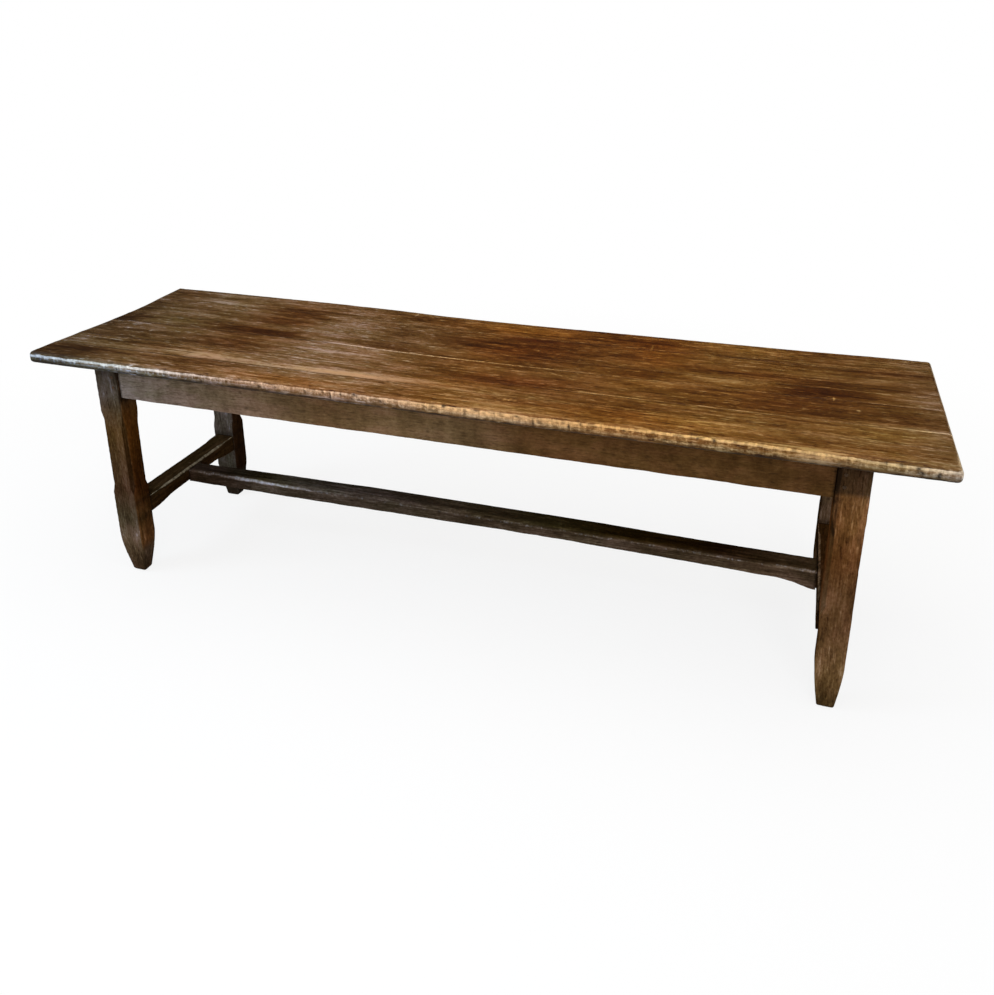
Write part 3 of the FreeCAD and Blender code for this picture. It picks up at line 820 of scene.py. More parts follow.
# Along the front edge: places in X, the crest's height over the underside in mm, then the strengths
# of the crest, a painted highlight on worn wood, of the tail under it and of the band near the foot
FRONT_EDGE = (
    (-1.28, -1.15, -0.85, -0.60, -0.40, -0.15, 0.03, 0.08, 0.36, 0.44, 0.65, 0.85, 1.00, 1.12, 1.28),
    (23.9, 24.1, 25.3, 26.5, 27.2, 28.0, 28.0, 28.0, 28.8, 30.0, 31.8, 32.3, 29.6, 27.0, 26.5),
    (1.30, 1.46, 1.38, 0.56, 0.54, 0.80, 1.02, 1.20, 1.10, 0.90, 0.90, 0.84, 0.96, 1.12, 1.20),
    (0.34, 0.31, 0.30, 0.32, 0.32, 0.46, 0.56, 0.64, 0.62, 0.34, 0.22, 0.22, 0.30, 0.36, 0.36),
    (0.00, 0.00, 0.00, 0.00, 0.00, 0.00, 0.00, 0.00, 0.12, 0.30, 0.41, 0.40, 0.26, 0.12, 0.08),
)
# Tones along the front edge, from the left end; its cool tone near the left end is a painted reflection
FRONT_EDGE_WASH = Wash(
    0,
    (-1.28, -1.10, -0.85, -0.60, -0.30, 0.10, 0.30, 0.65, 0.90, 1.12, 1.28),
    (1.02, 1.06, 1.20, 0.97, 0.95, 1.06, 1.06, 0.94, 0.92, 0.98, 1.02),
    (1.32, 1.34, 1.48, 1.03, 0.97, 1.12, 1.08, 0.93, 0.91, 1.11, 1.15),
    (1.72, 1.70, 2.00, 1.26, 1.12, 1.55, 1.46, 1.12, 1.06, 1.50, 1.56),
)
# Pale marks: X, Y, half length and half width in mm, strength
TOP_MARKS = (
    (1.010, -0.011, 3.0, 10.0, 0.9), (1.070, -0.078, 6.0, 7.0, 0.6), (0.487, 0.250, 5.0, 24.0, 0.5),
    (0.160, 0.132, 12.0, 6.0, 0.45), (-1.155, -0.080, 12.0, 7.0, 0.35), (-1.055, -0.085, 10.0, 6.0, 0.35),
    (0.935, -0.100, 3.5, 8.0, 0.3), (0.300, 0.082, 5.0, 10.0, 0.35), (-0.320, 0.335, 5.0, 30.0, 0.25),
    (1.215, 0.335, 18.0, 10.0, 0.35), (0.195, -0.282, 26.0, 9.0, 0.35), (-0.180, -0.137, 26.0, 14.0, 0.14),
)
# Tones along the top, from the left end; the greyer, cooler left part is a painted sheen
TOP_WASH = Wash(
    0,
    (-1.25, -1.00, -0.75, -0.50, -0.25, 0.00, 0.25, 0.50, 0.75, 1.00, 1.15, 1.28),
    (0.86, 1.01, 1.05, 1.16, 1.18, 1.17, 0.98, 1.04, 1.17, 0.92, 0.95, 0.98),
    (0.99, 1.11, 0.97, 1.13, 1.08, 0.90, 0.75, 0.78, 0.98, 0.72, 0.79, 0.93),
    (1.32, 1.24, 0.95, 1.22, 0.98, 0.49, 0.41, 0.36, 0.53, 0.38, 0.46, 0.80),
)
# Nicks of the front edge: X, Z, half length, half height and depth in mm
FRONT_EDGE_NICKS = (
    (-0.562, 0.753, 4, 4, 2.0), (-0.283, 0.740, 3, 9, 2.6), (-0.252, 0.748, 3, 6, 1.6),
    (-0.213, 0.752, 5, 5, 1.6), (0.043, 0.752, 4, 5, 2.2), (0.102, 0.740, 3, 9, 2.6),
    (0.181, 0.750, 3, 4, 2.0), (0.242, 0.749, 5, 4, 2.2), (0.286, 0.740, 3, 8, 1.8),
    (0.364, 0.747, 5, 4, 2.2), (0.378, 0.739, 3, 7, 2.2), (0.407, 0.750, 3, 4, 1.8),
    (0.518, 0.749, 5, 4, 2.2), (0.654, 0.755, 5, 4, 2.4), (0.696, 0.753, 4, 4, 2.2),
    (0.736, 0.751, 4, 5, 2.2), (0.783, 0.757, 5, 4, 1.8), (1.120, 0.752, 4, 4, 2.0),
    (1.153, 0.752, 4, 4, 2.0), (1.189, 0.748, 5, 4, 2.2), (1.196, 0.736, 4, 6, 2.2),
    (1.233, 0.736, 5, 5, 2.2),
)
# How far each plank lies below the highest one, and how far its middle is cupped below its edges
PLANK_STEPS = tuple(step * MM for step in (0.0, 0.7, 0.2, 0.0, 0.5, 0.2))
PLANK_CUPS = tuple(cup * MM for cup in (0.3, 0.5, 0.7, 0.3, 0.8, 0.4))
# Patches: X, Y, half length, half width, lift of the shade, factors for red, green and blue
TOP_PATCHES = tuple(Patch(*numbers) for numbers in (
    (-0.60, -0.238, 0.36, 0.021, 0.34, (1.08, 1.00, 0.86)),
    (-1.05, -0.228, 0.24, 0.019, 0.16, (1.00, 1.00, 1.02)),
    (-1.02, -0.195, 0.12, 0.036, -0.23, (0.98, 0.99, 0.98)),
    (-0.30, -0.243, 0.18, 0.019, 0.36, (1.15, 1.00, 0.80)),
    (-0.98, -0.215, 0.12, 0.040, -0.07, (1.00, 0.98, 0.95)),
    (-0.03, -0.230, 0.18, 0.034, 0.20, (1.06, 1.02, 1.00)),
    (-0.90, -0.285, 0.34, 0.018, -0.22, (1.04, 0.97, 0.90)),
    (-1.18, -0.316, 0.16, 0.055, -0.46, (0.95, 0.97, 1.00)),
    (-0.86, -0.352, 0.22, 0.010, -0.14, (0.98, 0.98, 1.00)),
    (0.22, -0.338, 0.20, 0.030, 0.24, (1.04, 1.02, 0.90)),
    (-0.72, 0.014, 0.15, 0.034, -0.41, (1.05, 0.86, 0.48)),
    (-0.74, -0.090, 0.13, 0.065, -0.22, (0.98, 0.87, 0.70)),
    (-1.02, 0.028, 0.10, 0.040, 0.18, (1.00, 1.08, 1.12)),
    (-0.25, 0.020, 0.10, 0.040, -0.22, (0.97, 0.99, 0.98)),
    (-0.95, 0.030, 0.36, 0.040, -0.18, (0.98, 0.99, 0.92)),
    (-0.68, 0.215, 0.10, 0.075, -0.20, (1.08, 0.97, 0.78)),
    (-0.70, 0.125, 0.11, 0.030, -0.22, (1.08, 0.97, 0.80)),
    (-0.95, 0.260, 0.10, 0.050, 0.14, (1.02, 1.00, 0.98)),
    (-1.20, 0.290, 0.08, 0.070, -0.17, (1.05, 0.95, 0.82)),
    (-1.25, 0.080, 0.05, 0.200, -0.22, (0.95, 0.98, 1.05)),
    (-1.05, -0.090, 0.28, 0.070, -0.17, (0.98, 1.00, 1.08)),
    # This patch is a painted greyish sheen.
    (-0.47, 0.090, 0.13, 0.140, 0.16, (0.98, 1.00, 1.06)),
    (-0.36, -0.090, 0.20, 0.070, 0.14, (1.02, 1.02, 1.04)),
    (-0.45, -0.330, 0.22, 0.032, 0.04, (1.22, 0.96, 0.62)),
    (-0.25, -0.310, 0.07, 0.030, 0.14, (0.98, 1.00, 1.00)),
    (-0.18, -0.137, 0.05, 0.024, 0.16, (1.05, 0.98, 1.05)),
    (0.08, 0.300, 0.24, 0.050, 0.12, (1.12, 0.98, 0.60)),
    (0.13, 0.212, 0.11, 0.014, -0.26, (1.10, 0.90, 0.85)),
    (0.11, 0.105, 0.17, 0.090, -0.22, (1.08, 0.90, 0.68)),
    (0.17, -0.140, 0.14, 0.060, -0.16, (1.10, 0.90, 0.88)),
    (-0.18, 0.140, 0.22, 0.140, -0.05, (0.95, 1.00, 1.10)),
    (0.24, 0.250, 0.30, 0.110, -0.06, (1.00, 0.93, 0.78)),
    (0.52, -0.065, 0.13, 0.030, 0.18, (1.04, 1.02, 0.90)),
    (0.84, -0.070, 0.19, 0.085, -0.24, (1.05, 0.95, 0.84)),
    (0.80, 0.110, 0.20, 0.030, -0.16, (1.05, 0.95, 0.84)),
    (0.78, 0.320, 0.16, 0.030, 0.14, (1.08, 1.00, 0.80)),
    (1.00, 0.030, 0.12, 0.040, -0.28, (1.00, 0.87, 0.57)),
    (-1.23, 0.022, 0.07, 0.040, -0.32, (1.00, 0.98, 0.98)),
    (-1.25, -0.214, 0.06, 0.035, 0.12, (1.00, 1.03, 1.12)),
    (-0.78, -0.214, 0.12, 0.040, 0.04, (1.04, 0.97, 0.82)),
    (0.48, 0.022, 0.10, 0.036, -0.24, (1.00, 0.94, 0.68)),
    (-0.25, 0.300, 0.12, 0.050, -0.11, (1.00, 0.94, 0.75)),
    (0.42, 0.300, 0.18, 0.060, -0.15, (1.00, 0.93, 0.72)),
    (0.52, 0.200, 0.10, 0.120, -0.01, (1.13, 0.97, 0.70)),
    (0.93, 0.180, 0.10, 0.035, 0.14, (1.00, 1.02, 0.95)),
    (1.16, 0.230, 0.10, 0.030, -0.12, (1.04, 0.96, 0.80)),
    (1.255, -0.020, 0.035, 0.130, 0.14, (1.00, 0.98, 1.10)),
    (0.55, -0.300, 0.26, 0.050, -0.02, (1.12, 1.00, 0.72)),
    (0.74, 0.022, 0.13, 0.036, 0.24, (1.00, 1.03, 0.98)),
    (0.76, -0.310, 0.10, 0.050, 0.11, (1.00, 1.00, 1.00)),
    (1.12, -0.215, 0.16, 0.040, 0.12, (1.05, 1.04, 0.80)),
    (1.12, -0.325, 0.16, 0.040, 0.20, (1.04, 1.02, 0.92)),
    (0.975, -0.351, 0.055, 0.011, 0.80, (1.10, 1.12, 1.05)),
    (0.860, -0.222, 0.030, 0.026, -0.22, (1.00, 0.97, 0.92)),
    (0.20, -0.285, 0.05, 0.020, -0.14, (1.02, 0.95, 0.90)),
))


@dataclass(frozen=True)
class GrainLine:
    """A long fibre of the top that shows, from one place to another, with a bow between them."""

    x_from: float
    x_to: float
    y_from: float
    y_to: float
    bow: float
    half: float
    lift: float

    def crosses(self, low: float, high: float) -> bool:
        """Tells whether the line comes near a plank that spans low to high in Y."""
        reach = 8 * MM + abs(self.bow) * MM
        return min(self.y_from, self.y_to) - reach < high and max(self.y_from, self.y_to) + reach > low


# Lines: from X, to X, from Y, to Y, bow and half width in mm, lift of the shade
GRAIN_LINES = tuple(GrainLine(*numbers) for numbers in (
    (-0.20, 0.24, -0.307, -0.300, -1.0, 3.4, 0.34), (0.14, 0.25, -0.268, -0.302, 3.0, 3.0, 0.30),
    (0.63, 0.84, -0.283, -0.254, 2.0, 3.4, 0.34), (0.40, 0.62, -0.240, -0.252, 1.0, 3.4, 0.30),
    (0.98, 1.27, -0.250, -0.271, 2.0, 3.4, 0.34), (1.00, 1.14, -0.264, -0.286, 1.0, 3.0, 0.26),
    (0.89, 0.97, -0.260, -0.250, 1.0, 3.4, 0.34), (0.24, 0.41, -0.228, -0.264, -3.0, 3.2, 0.32),
    (0.38, 0.48, -0.263, -0.243, -2.0, 3.2, 0.28), (-0.22, 0.09, -0.264, -0.261, -1.0, 3.0, 0.30),
    (-1.12, -0.76, -0.264, -0.262, 0.0, 4.5, -0.30), (-1.29, -0.94, -0.188, -0.189, 0.0, 3.6, 0.26),
    (-1.20, -1.02, -0.080, -0.083, 1.0, 5.0, 0.24), (-0.62, -0.38, 0.068, 0.058, 0.0, 5.0, 0.24),
    (-0.41, -0.25, 0.042, 0.071, 2.0, 4.5, 0.26), (-0.23, -0.03, 0.066, 0.066, 1.0, 4.0, 0.18),
    (-0.08, 0.02, 0.200, 0.201, 0.0, 4.5, 0.26), (0.04, 0.13, 0.076, 0.050, -1.0, 4.0, 0.28),
    (0.25, 0.40, 0.050, 0.075, 1.0, 4.5, 0.22), (0.19, 0.33, -0.026, -0.076, 6.0, 3.0, 0.40),
    (0.27, 0.41, -0.138, -0.164, -3.0, 3.2, 0.34), (0.55, 0.72, 0.060, 0.058, 0.0, 4.5, 0.22),
    (0.94, 1.19, 0.071, 0.054, 0.0, 4.0, 0.34), (0.92, 1.28, 0.232, 0.236, 0.0, 6.0, 0.18),
    (1.05, 1.28, 0.259, 0.262, 0.0, 4.5, 0.22), (0.62, 0.75, -0.089, -0.090, 1.0, 4.0, 0.24),
    (0.84, 0.91, -0.104, -0.102, 0.0, 4.0, 0.26), (0.91, 1.13, -0.100, -0.098, 0.0, 4.0, 0.18),
    (1.04, 1.18, -0.043, -0.029, 2.0, 3.6, 0.24), (1.00, 1.28, 0.214, 0.222, 0.0, 9.0, -0.22),
    (0.66, 1.07, 0.116, 0.112, 0.0, 8.0, -0.18), (1.02, 1.24, 0.097, 0.094, 0.0, 9.0, -0.22),
    (0.42, 0.55, -0.284, -0.290, 0.0, 4.0, -0.28), (0.33, 0.62, 0.150, 0.146, 2.0, 5.0, -0.16),
    (0.55, 0.93, -0.205, -0.214, -3.0, 4.0, 0.16), (-0.60, -0.20, -0.130, -0.124, 2.0, 4.0, -0.16),
))


def eased_stations(start: float, stop: float, step: float, rounded: float) -> np.ndarray:
    """Places rings evenly from start to stop, with close ones over a rounded first end.

    Args:
        start: The first station.
        stop: The last station.
        step: The even spacing.
        rounded: The radius at the first end.

    Returns:
        The stations.
    """
    turn = np.linspace(0.0, math.pi / 2, 6)[:-1]
    near = start + rounded * (1.0 - np.cos(turn))
    count = int((stop - start - rounded) / step)
    return np.concatenate([near, np.linspace(start + rounded, stop, count)])


@dataclass
class Leg:
    """One leg: a square block at each joint, stopped chamfers between them and a tapered foot."""

    KNOCKS = 60

    side: int
    front: int
    node: str
    arris: float = 3.2 * MM
    chamfer: float = 10 * MM
    inner_chamfer: float = 13 * MM
    chamfer_low: float = 282 * MM
    chamfer_high: float = 566 * MM
    runout: float = 30 * MM
    foot: float = 135 * MM
    foot_bend: float = 101 * MM
    sole: Pair = (47 * MM, 38 * MM)
    sole_round: float = 15 * MM
    sole_share: float = 0.70
    sole_back_share: float = 0.72
    inner_inset: float = 0.0
    inset_heights: Pair = (0.21, 0.32)
    joint_shadow: float = 0.9
    band_shadow: float = 0.0
    joint_width: float = 2 * MM
    chamfer_painted_shade: Colour = (0.40, 0.34, 0.24)
    long_runout: float = 62 * MM
    stretcher_under: Pair = (0.196, 0.012)
    stretcher_upper: Pair = (0.256, 0.010)
    apron_under: Pair = (0.608, 0.018)
    apron_joint: Pair = (0.606, 0.618)
    dark_band: Pair = (0.47, 0.53)
    shadow_under_top: Pair = (0.66, 0.72)
    dirty_foot: Pair = (0.01, 0.12)
    worn_foot: Pair = (0.10, 0.20)
    washes: tuple[Wash, ...] = ()
    inner_painted_shade: Colour = (1.0, 1.0, 1.0)
    step: float = 2.3 * MM

    def taper(self, z: np.ndarray) -> np.ndarray:
        """The share of the foot's taper at each height: the square of the parameter of the bend's curve.

        The bend is a quadratic Bezier curve that leaves the leg's side upright, so its height is a
        quadratic in the parameter, which is solved for here.

        Args:
            z: The heights.

        Returns:
            The share, from 0 to 1.
        """
        a = self.foot - 2.0 * self.foot_bend + self.sole_round
        b = 2.0 * (self.foot_bend - self.foot)
        c = self.foot - np.clip(z, self.sole_round, self.foot)
        t = (-b - np.sqrt(np.maximum(b * b - 4.0 * a * c, 0.0))) / (2.0 * a)
        return np.clip(t, 0.0, 1.0) ** 2

    def inset(self, z: np.ndarray) -> np.ndarray:
        """How far the lower part of the inner face lies behind the upper part."""
        return self.inner_inset * (1.0 - smooth(z, *self.inset_heights))

    def section(self, z: np.ndarray) -> Section:
        """Works out the outline at each height.

        Args:
            z: The heights.

        Returns:
            The outline.
        """
        low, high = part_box(self.node)
        share = self.taper(z)
        rounded = TableTop.fall(z, self.sole_round)
        sides = []
        for axis, sole in ((0, self.sole[0]), (1, self.sole[1])):
            taken = (high[axis] - low[axis]) - sole
            outer_share = self.sole_share if axis == 0 else 1.0 - self.sole_back_share
            outer_in = outer_share * taken * share + rounded
            inner_in = (1.0 - outer_share) * taken * share + rounded
            if axis == 0:
                inner_in = inner_in + self.inset(z) * (1.0 - 0.6 * share)
            outward = self.side if axis == 0 else self.front
            low_in, high_in = (inner_in, outer_in) if outward > 0 else (outer_in, inner_in)
            sides.append((low[axis] + low_in, high[axis] - high_in))
        tongue = 1.0 + 0.12 * bell(z, self.chamfer_low + self.runout * 1.1, 9 * MM)
        reach, power = [], []
        for side_x, side_y in ((-1, -1), (1, -1), (1, 1), (-1, 1)):
            inner = side_x == -self.side
            size = self.inner_chamfer if inner and side_y == self.front else self.chamfer
            top_runout = self.long_runout if inner else self.runout
            middle = smooth(z, self.chamfer_low, self.chamfer_low + self.runout)
            middle *= 1.0 - smooth(z, self.chamfer_high - top_runout, self.chamfer_high)
            reach.append(self.arris * (1.0 - 0.35 * share) + (size - self.arris) * middle * tongue)
            power.append(2.0 - 0.80 * middle)
        reach = np.stack(reach, -1)
        return Section(
            *sides[0], *sides[1], reach_u=reach, reach_v=reach, power=np.stack(power, -1),
            flats_u=14, flats_v=12, corner=8,
        )

    def build(self, material: bpy.types.Material, seed: int) -> None:
        """Builds the leg.

        Args:
            material: Its finish.
            seed: The seed of its wear.
        """
        low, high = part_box(self.node)
        z = eased_stations(low.z, high.z, self.step, self.sole_round)
        section = self.section(z)
        loop, corner = section.loop()
        timber = Timber(
            name=self.node + "_worn", node=self.node, run=Run.ALONG_Z, part=Part.LEG, seed=seed,
            material=material, slow_swell=0.3 * MM, quick_swell=0.12 * MM, arris_loss=0.6 * MM,
            dents=self.bruises(seed, low, high),
        )
        rings = timber.place(z, loop)
        fields = Fields.plain(rings)
        self.dress(rings, corner, fields)
        rings = timber.worn(rings, corner, fields)
        timber.finish(rings, section.corner + section.flats_u, fields)

    def dress(self, rings: np.ndarray, corner: np.ndarray, fields: Fields) -> None:
        """Dirties the foot, pales the arrises and paints shade at the joints, under the top and on the inner
        face and its chamfer.

        Args:
            rings: The leg's points.
            corner: How near each loop point is to a corner's middle.
            fields: The fields to change.
        """
        low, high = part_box(self.node)
        height = rings[..., 2]
        foot = 1.0 - smooth(height, *self.dirty_foot)
        stretcher_line = bell(height, *self.stretcher_under) + bell(height, *self.stretcher_upper)
        inner_x = low.x if self.side > 0 else high.x
        inner_y = low.y if self.front > 0 else high.y
        outer_y = high.y if self.front > 0 else low.y
        at_joint = np.maximum(
            1.0 - smooth(np.abs(rings[..., 0] - inner_x), 1 * MM, 5 * MM),
            1.0 - smooth(np.abs(rings[..., 1] - inner_y), 1 * MM, 5 * MM),
        )
        # Dirt on the foot; painted shade at the stretcher joints and painted shadow under the apron.
        shadow_under_apron = 1.8 * bell(height, *self.apron_under)
        fields.dirt_and_shade += 0.5 * foot + 0.5 * at_joint * np.maximum(stretcher_line, shadow_under_apron)
        # Painted shadow under the top.
        fields.dirt_and_shade += 0.4 * smooth(height, *self.shadow_under_top)
        block = 1.0 - smooth(height, self.chamfer_low, self.chamfer_low + self.runout)
        block += smooth(height, self.chamfer_high - self.runout, self.chamfer_high)
        block += 1.0 - smooth(height, *self.worn_foot)
        fields.wear_and_highlight += 0.6 * corner[None, :] * block
        fields.lift -= 0.10 * foot
        inside = np.abs(rings[..., 0] - inner_x) - self.inset(height)
        inner_face = 1.0 - smooth(inside, 0.5 * MM, 4 * MM)
        shoulder = 1.0 - smooth(inside, self.joint_width, self.joint_width + 4 * MM)
        shoulder *= bell(rings[..., 1], outer_y, 10 * MM)
        fields.dirt_and_shade += self.joint_shadow * shoulder * smooth(height, *self.apron_joint)
        fields.dirt_and_shade += self.band_shadow * shoulder * smooth(height, *self.dark_band)
        # Painted shade, with a greyer tone, on the inner-front chamfer.
        chamfered = smooth(corner[None, :], 0.0, 0.3) * (1.0 - smooth(inside, 12 * MM, 15 * MM))
        chamfered = chamfered * (1.0 - inner_face) * bell(rings[..., 1], outer_y, 14 * MM, 4.0)
        fields.multiply(self.chamfer_painted_shade, chamfered)
        # Painted shade on the inner face.
        fields.multiply(self.inner_painted_shade, inner_face)
        # The washes carry painted light and shade besides the leg's tone.
        for wash in self.washes:
            wash.on(rings, fields)

    def bruises(self, seed: int, low: Any, high: Any) -> list[Dent]:
        """Scatters seeded knocks over the leg, more of them low down.

        Args:
            seed: The seed of the leg's wear.
            low: The low corner of its box.
            high: The high corner.

        Returns:
            The knocks.
        """
        random = np.random.default_rng(900 + seed)
        marks = []
        for _ in range(self.KNOCKS):
            size = random.uniform(1.8, 5.0) * MM
            height = high.z * random.uniform(0.02, 1.0) ** 1.4
            place = [random.uniform(low.x, high.x), random.uniform(low.y, high.y), height]
            axis = int(random.integers(0, 2))
            place[axis] = (low, high)[int(random.integers(0, 2))][axis]
            reach = (size, size, size * random.uniform(1.0, 2.6))
            marks.append(Dent(tuple(place), reach, random.uniform(0.3, 1.1) * MM, random.uniform(0.1, 0.6)))
        return marks


Dressing = Callable[[np.ndarray, Fields], None]


@dataclass
class Rail:
    """An apron or a stretcher: a straight timber between two faces, with worked long arrises."""

    node: str
    run: Run
    part: Part
    half_length: float
    seed: int
    arris: float = 2.6 * MM
    chamfer: float = 0.0
    chamfer_stop: float = 45 * MM
    chamfer_runout: float = 35 * MM
    relief: float = 0.0
    relief_block: float = 30 * MM
    relief_ramp: float = 90 * MM
    low_start: float = 0.0
    rear_chamfer: tuple[Row, Row] = ((0.0,), (1.0,))
    end_drop: float = 0.0
    hollow: float = 0.0
    soft_chamfer: float = 0.5
    arris_wear: float = 0.7
    low_end_share: float = 0.0
    bruise_count: int = 50
    bruise_sizes: Pair = (1.6, 4.5)
    shoulder_wear: Pair = (0.5 * MM, 0.5 * MM)
    washes: tuple[Wash, ...] = ()
    step: float = 3.6 * MM
    flats: tuple[int, int] = (10, 14)

    def __post_init__(self) -> None:
        """Reads the rail's section from its node's box."""
        low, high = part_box(self.node)
        side = self.run.value[1]
        self.ends = (-self.half_length, self.half_length)
        self.across = (low[side], high[side])
        self.heights = (low.z, high.z)

    def section(self, s: np.ndarray) -> Section:
        """Works out the outline at each station along the rail.

        Args:
            s: The stations.

        Returns:
            The outline.
        """
        first, last = self.ends
        end = np.minimum(s - first, last - s)
        line = np.zeros((len(s), 3))
        line[:, 0] = s
        edge = WaveField(self.seed + 5, (0.21, 1.0, 1.0)).at(line)
        relief = smooth(end, self.relief_block, self.relief_block + self.relief_ramp)
        relief = self.relief * np.maximum(relief, self.low_end_share * (s < 0.0))
        bowed = bell(s, 0.17, 0.52, 2.2)
        flare = self.end_drop * smooth(s, last - 95 * MM, last - 5 * MM) ** 2
        dropped = self.low_start * (1.0 - smooth(s, first + 0.05, first + 0.36))
        amount = smooth(end, self.chamfer_stop, self.chamfer_stop + self.chamfer_runout)
        amount *= 1.0 if self.chamfer else 0.0
        upper = self.arris + (self.chamfer - self.arris) * amount * (1.0 + 0.05 * edge)
        lower = self.arris * (1.0 + 0.25 * edge)
        rear = self.arris + (upper - self.arris) * np.interp(s, *self.rear_chamfer)
        reach = np.stack([lower, lower, rear, upper], -1)
        soft = np.full_like(s, 2.0)
        cut = soft - self.soft_chamfer * amount
        power = np.stack([soft, soft, cut, cut], -1)
        return Section(
            u_low=np.full_like(s, self.across[0]),
            u_high=np.full_like(s, self.across[1]),
            v_low=self.heights[0] + relief + 0.25 * MM * (1.0 + edge) + self.hollow * bowed - flare,
            v_high=self.heights[1] - dropped,
            reach_u=reach,
            reach_v=reach,
            power=power,
            flats_u=self.flats[0],
            flats_v=self.flats[1],
            corner=6,
        )

    def build(self, material: bpy.types.Material, dress: Dressing | None) -> None:
        """Builds the rail.

        Args:
            material: Its finish.
            dress: Adds this rail's own light, dark and dirty places to its fields, if it has any.
        """
        first, last = self.ends[0] + self.shoulder_wear[0], self.ends[1] - self.shoulder_wear[1]
        s = np.linspace(first, last, int((last - first) / self.step))
        section = self.section(s)
        loop, corner = section.loop()
        timber = Timber(
            name=self.node + "_worn", node=self.node, run=self.run, part=self.part, seed=self.seed,
            material=material, slow_swell=0.22 * MM, quick_swell=0.12 * MM,
            arris_loss=0.5 * MM, dents=self.bruises(),
        )
        rings = timber.place(s, loop)
        fields = Fields.plain(rings)
        fields.wear_and_highlight += self.arris_wear * corner[None, :]
        end = np.minimum(s - first, last - s)[:, None]
        # Painted shade at both ends, where the rail meets the legs.
        fields.dirt_and_shade += 0.8 * (1.0 - smooth(end, 1 * MM, 7 * MM))
        for wash in self.washes:
            wash.on(rings, fields)
        if dress:
            dress(rings, fields)
        rings = timber.worn(rings, corner, fields)
        timber.finish(rings, section.corner + section.flats_u, fields)

    def bruises(self) -> list[Dent]:
        """Scatters seeded knocks over the rail's sides and top.

        Returns:
            The knocks.
        """
        random = np.random.default_rng(700 + self.seed)
        along, first, second = self.run.value
        marks = []
        for _ in range(self.bruise_count):
            size = random.uniform(*self.bruise_sizes) * MM
            place = [0.0, 0.0, 0.0]
            place[along] = random.uniform(*self.ends)
            place[first] = self.across[int(random.integers(0, 2))]
            place[second] = random.uniform(*self.heights)
            reach = [size, size, size]
            reach[along] = size * random.uniform(1.0, 3.0)
            depth, dirt = random.uniform(0.2, 0.9) * MM, random.uniform(0.1, 0.8)
            marks.append(Dent(tuple(place), tuple(reach), depth, dirt))
        return marks


def linear(shade: Colour) -> tuple[float, float, float, float]:
    """Turns a colour of 0 to 255, as seen on a screen, into the linear one that shaders use.

    Args:
        shade: Red, green and blue.

    Returns:
        Linear red, green, blue and 1.
    """
    parts = [value / 255.0 for value in shade]
    toe = [value / 12.92 if value <= 0.04045 else ((value + 0.055) / 1.055) ** 2.4 for value in parts]
    return (toe[0], toe[1], toe[2], 1.0)


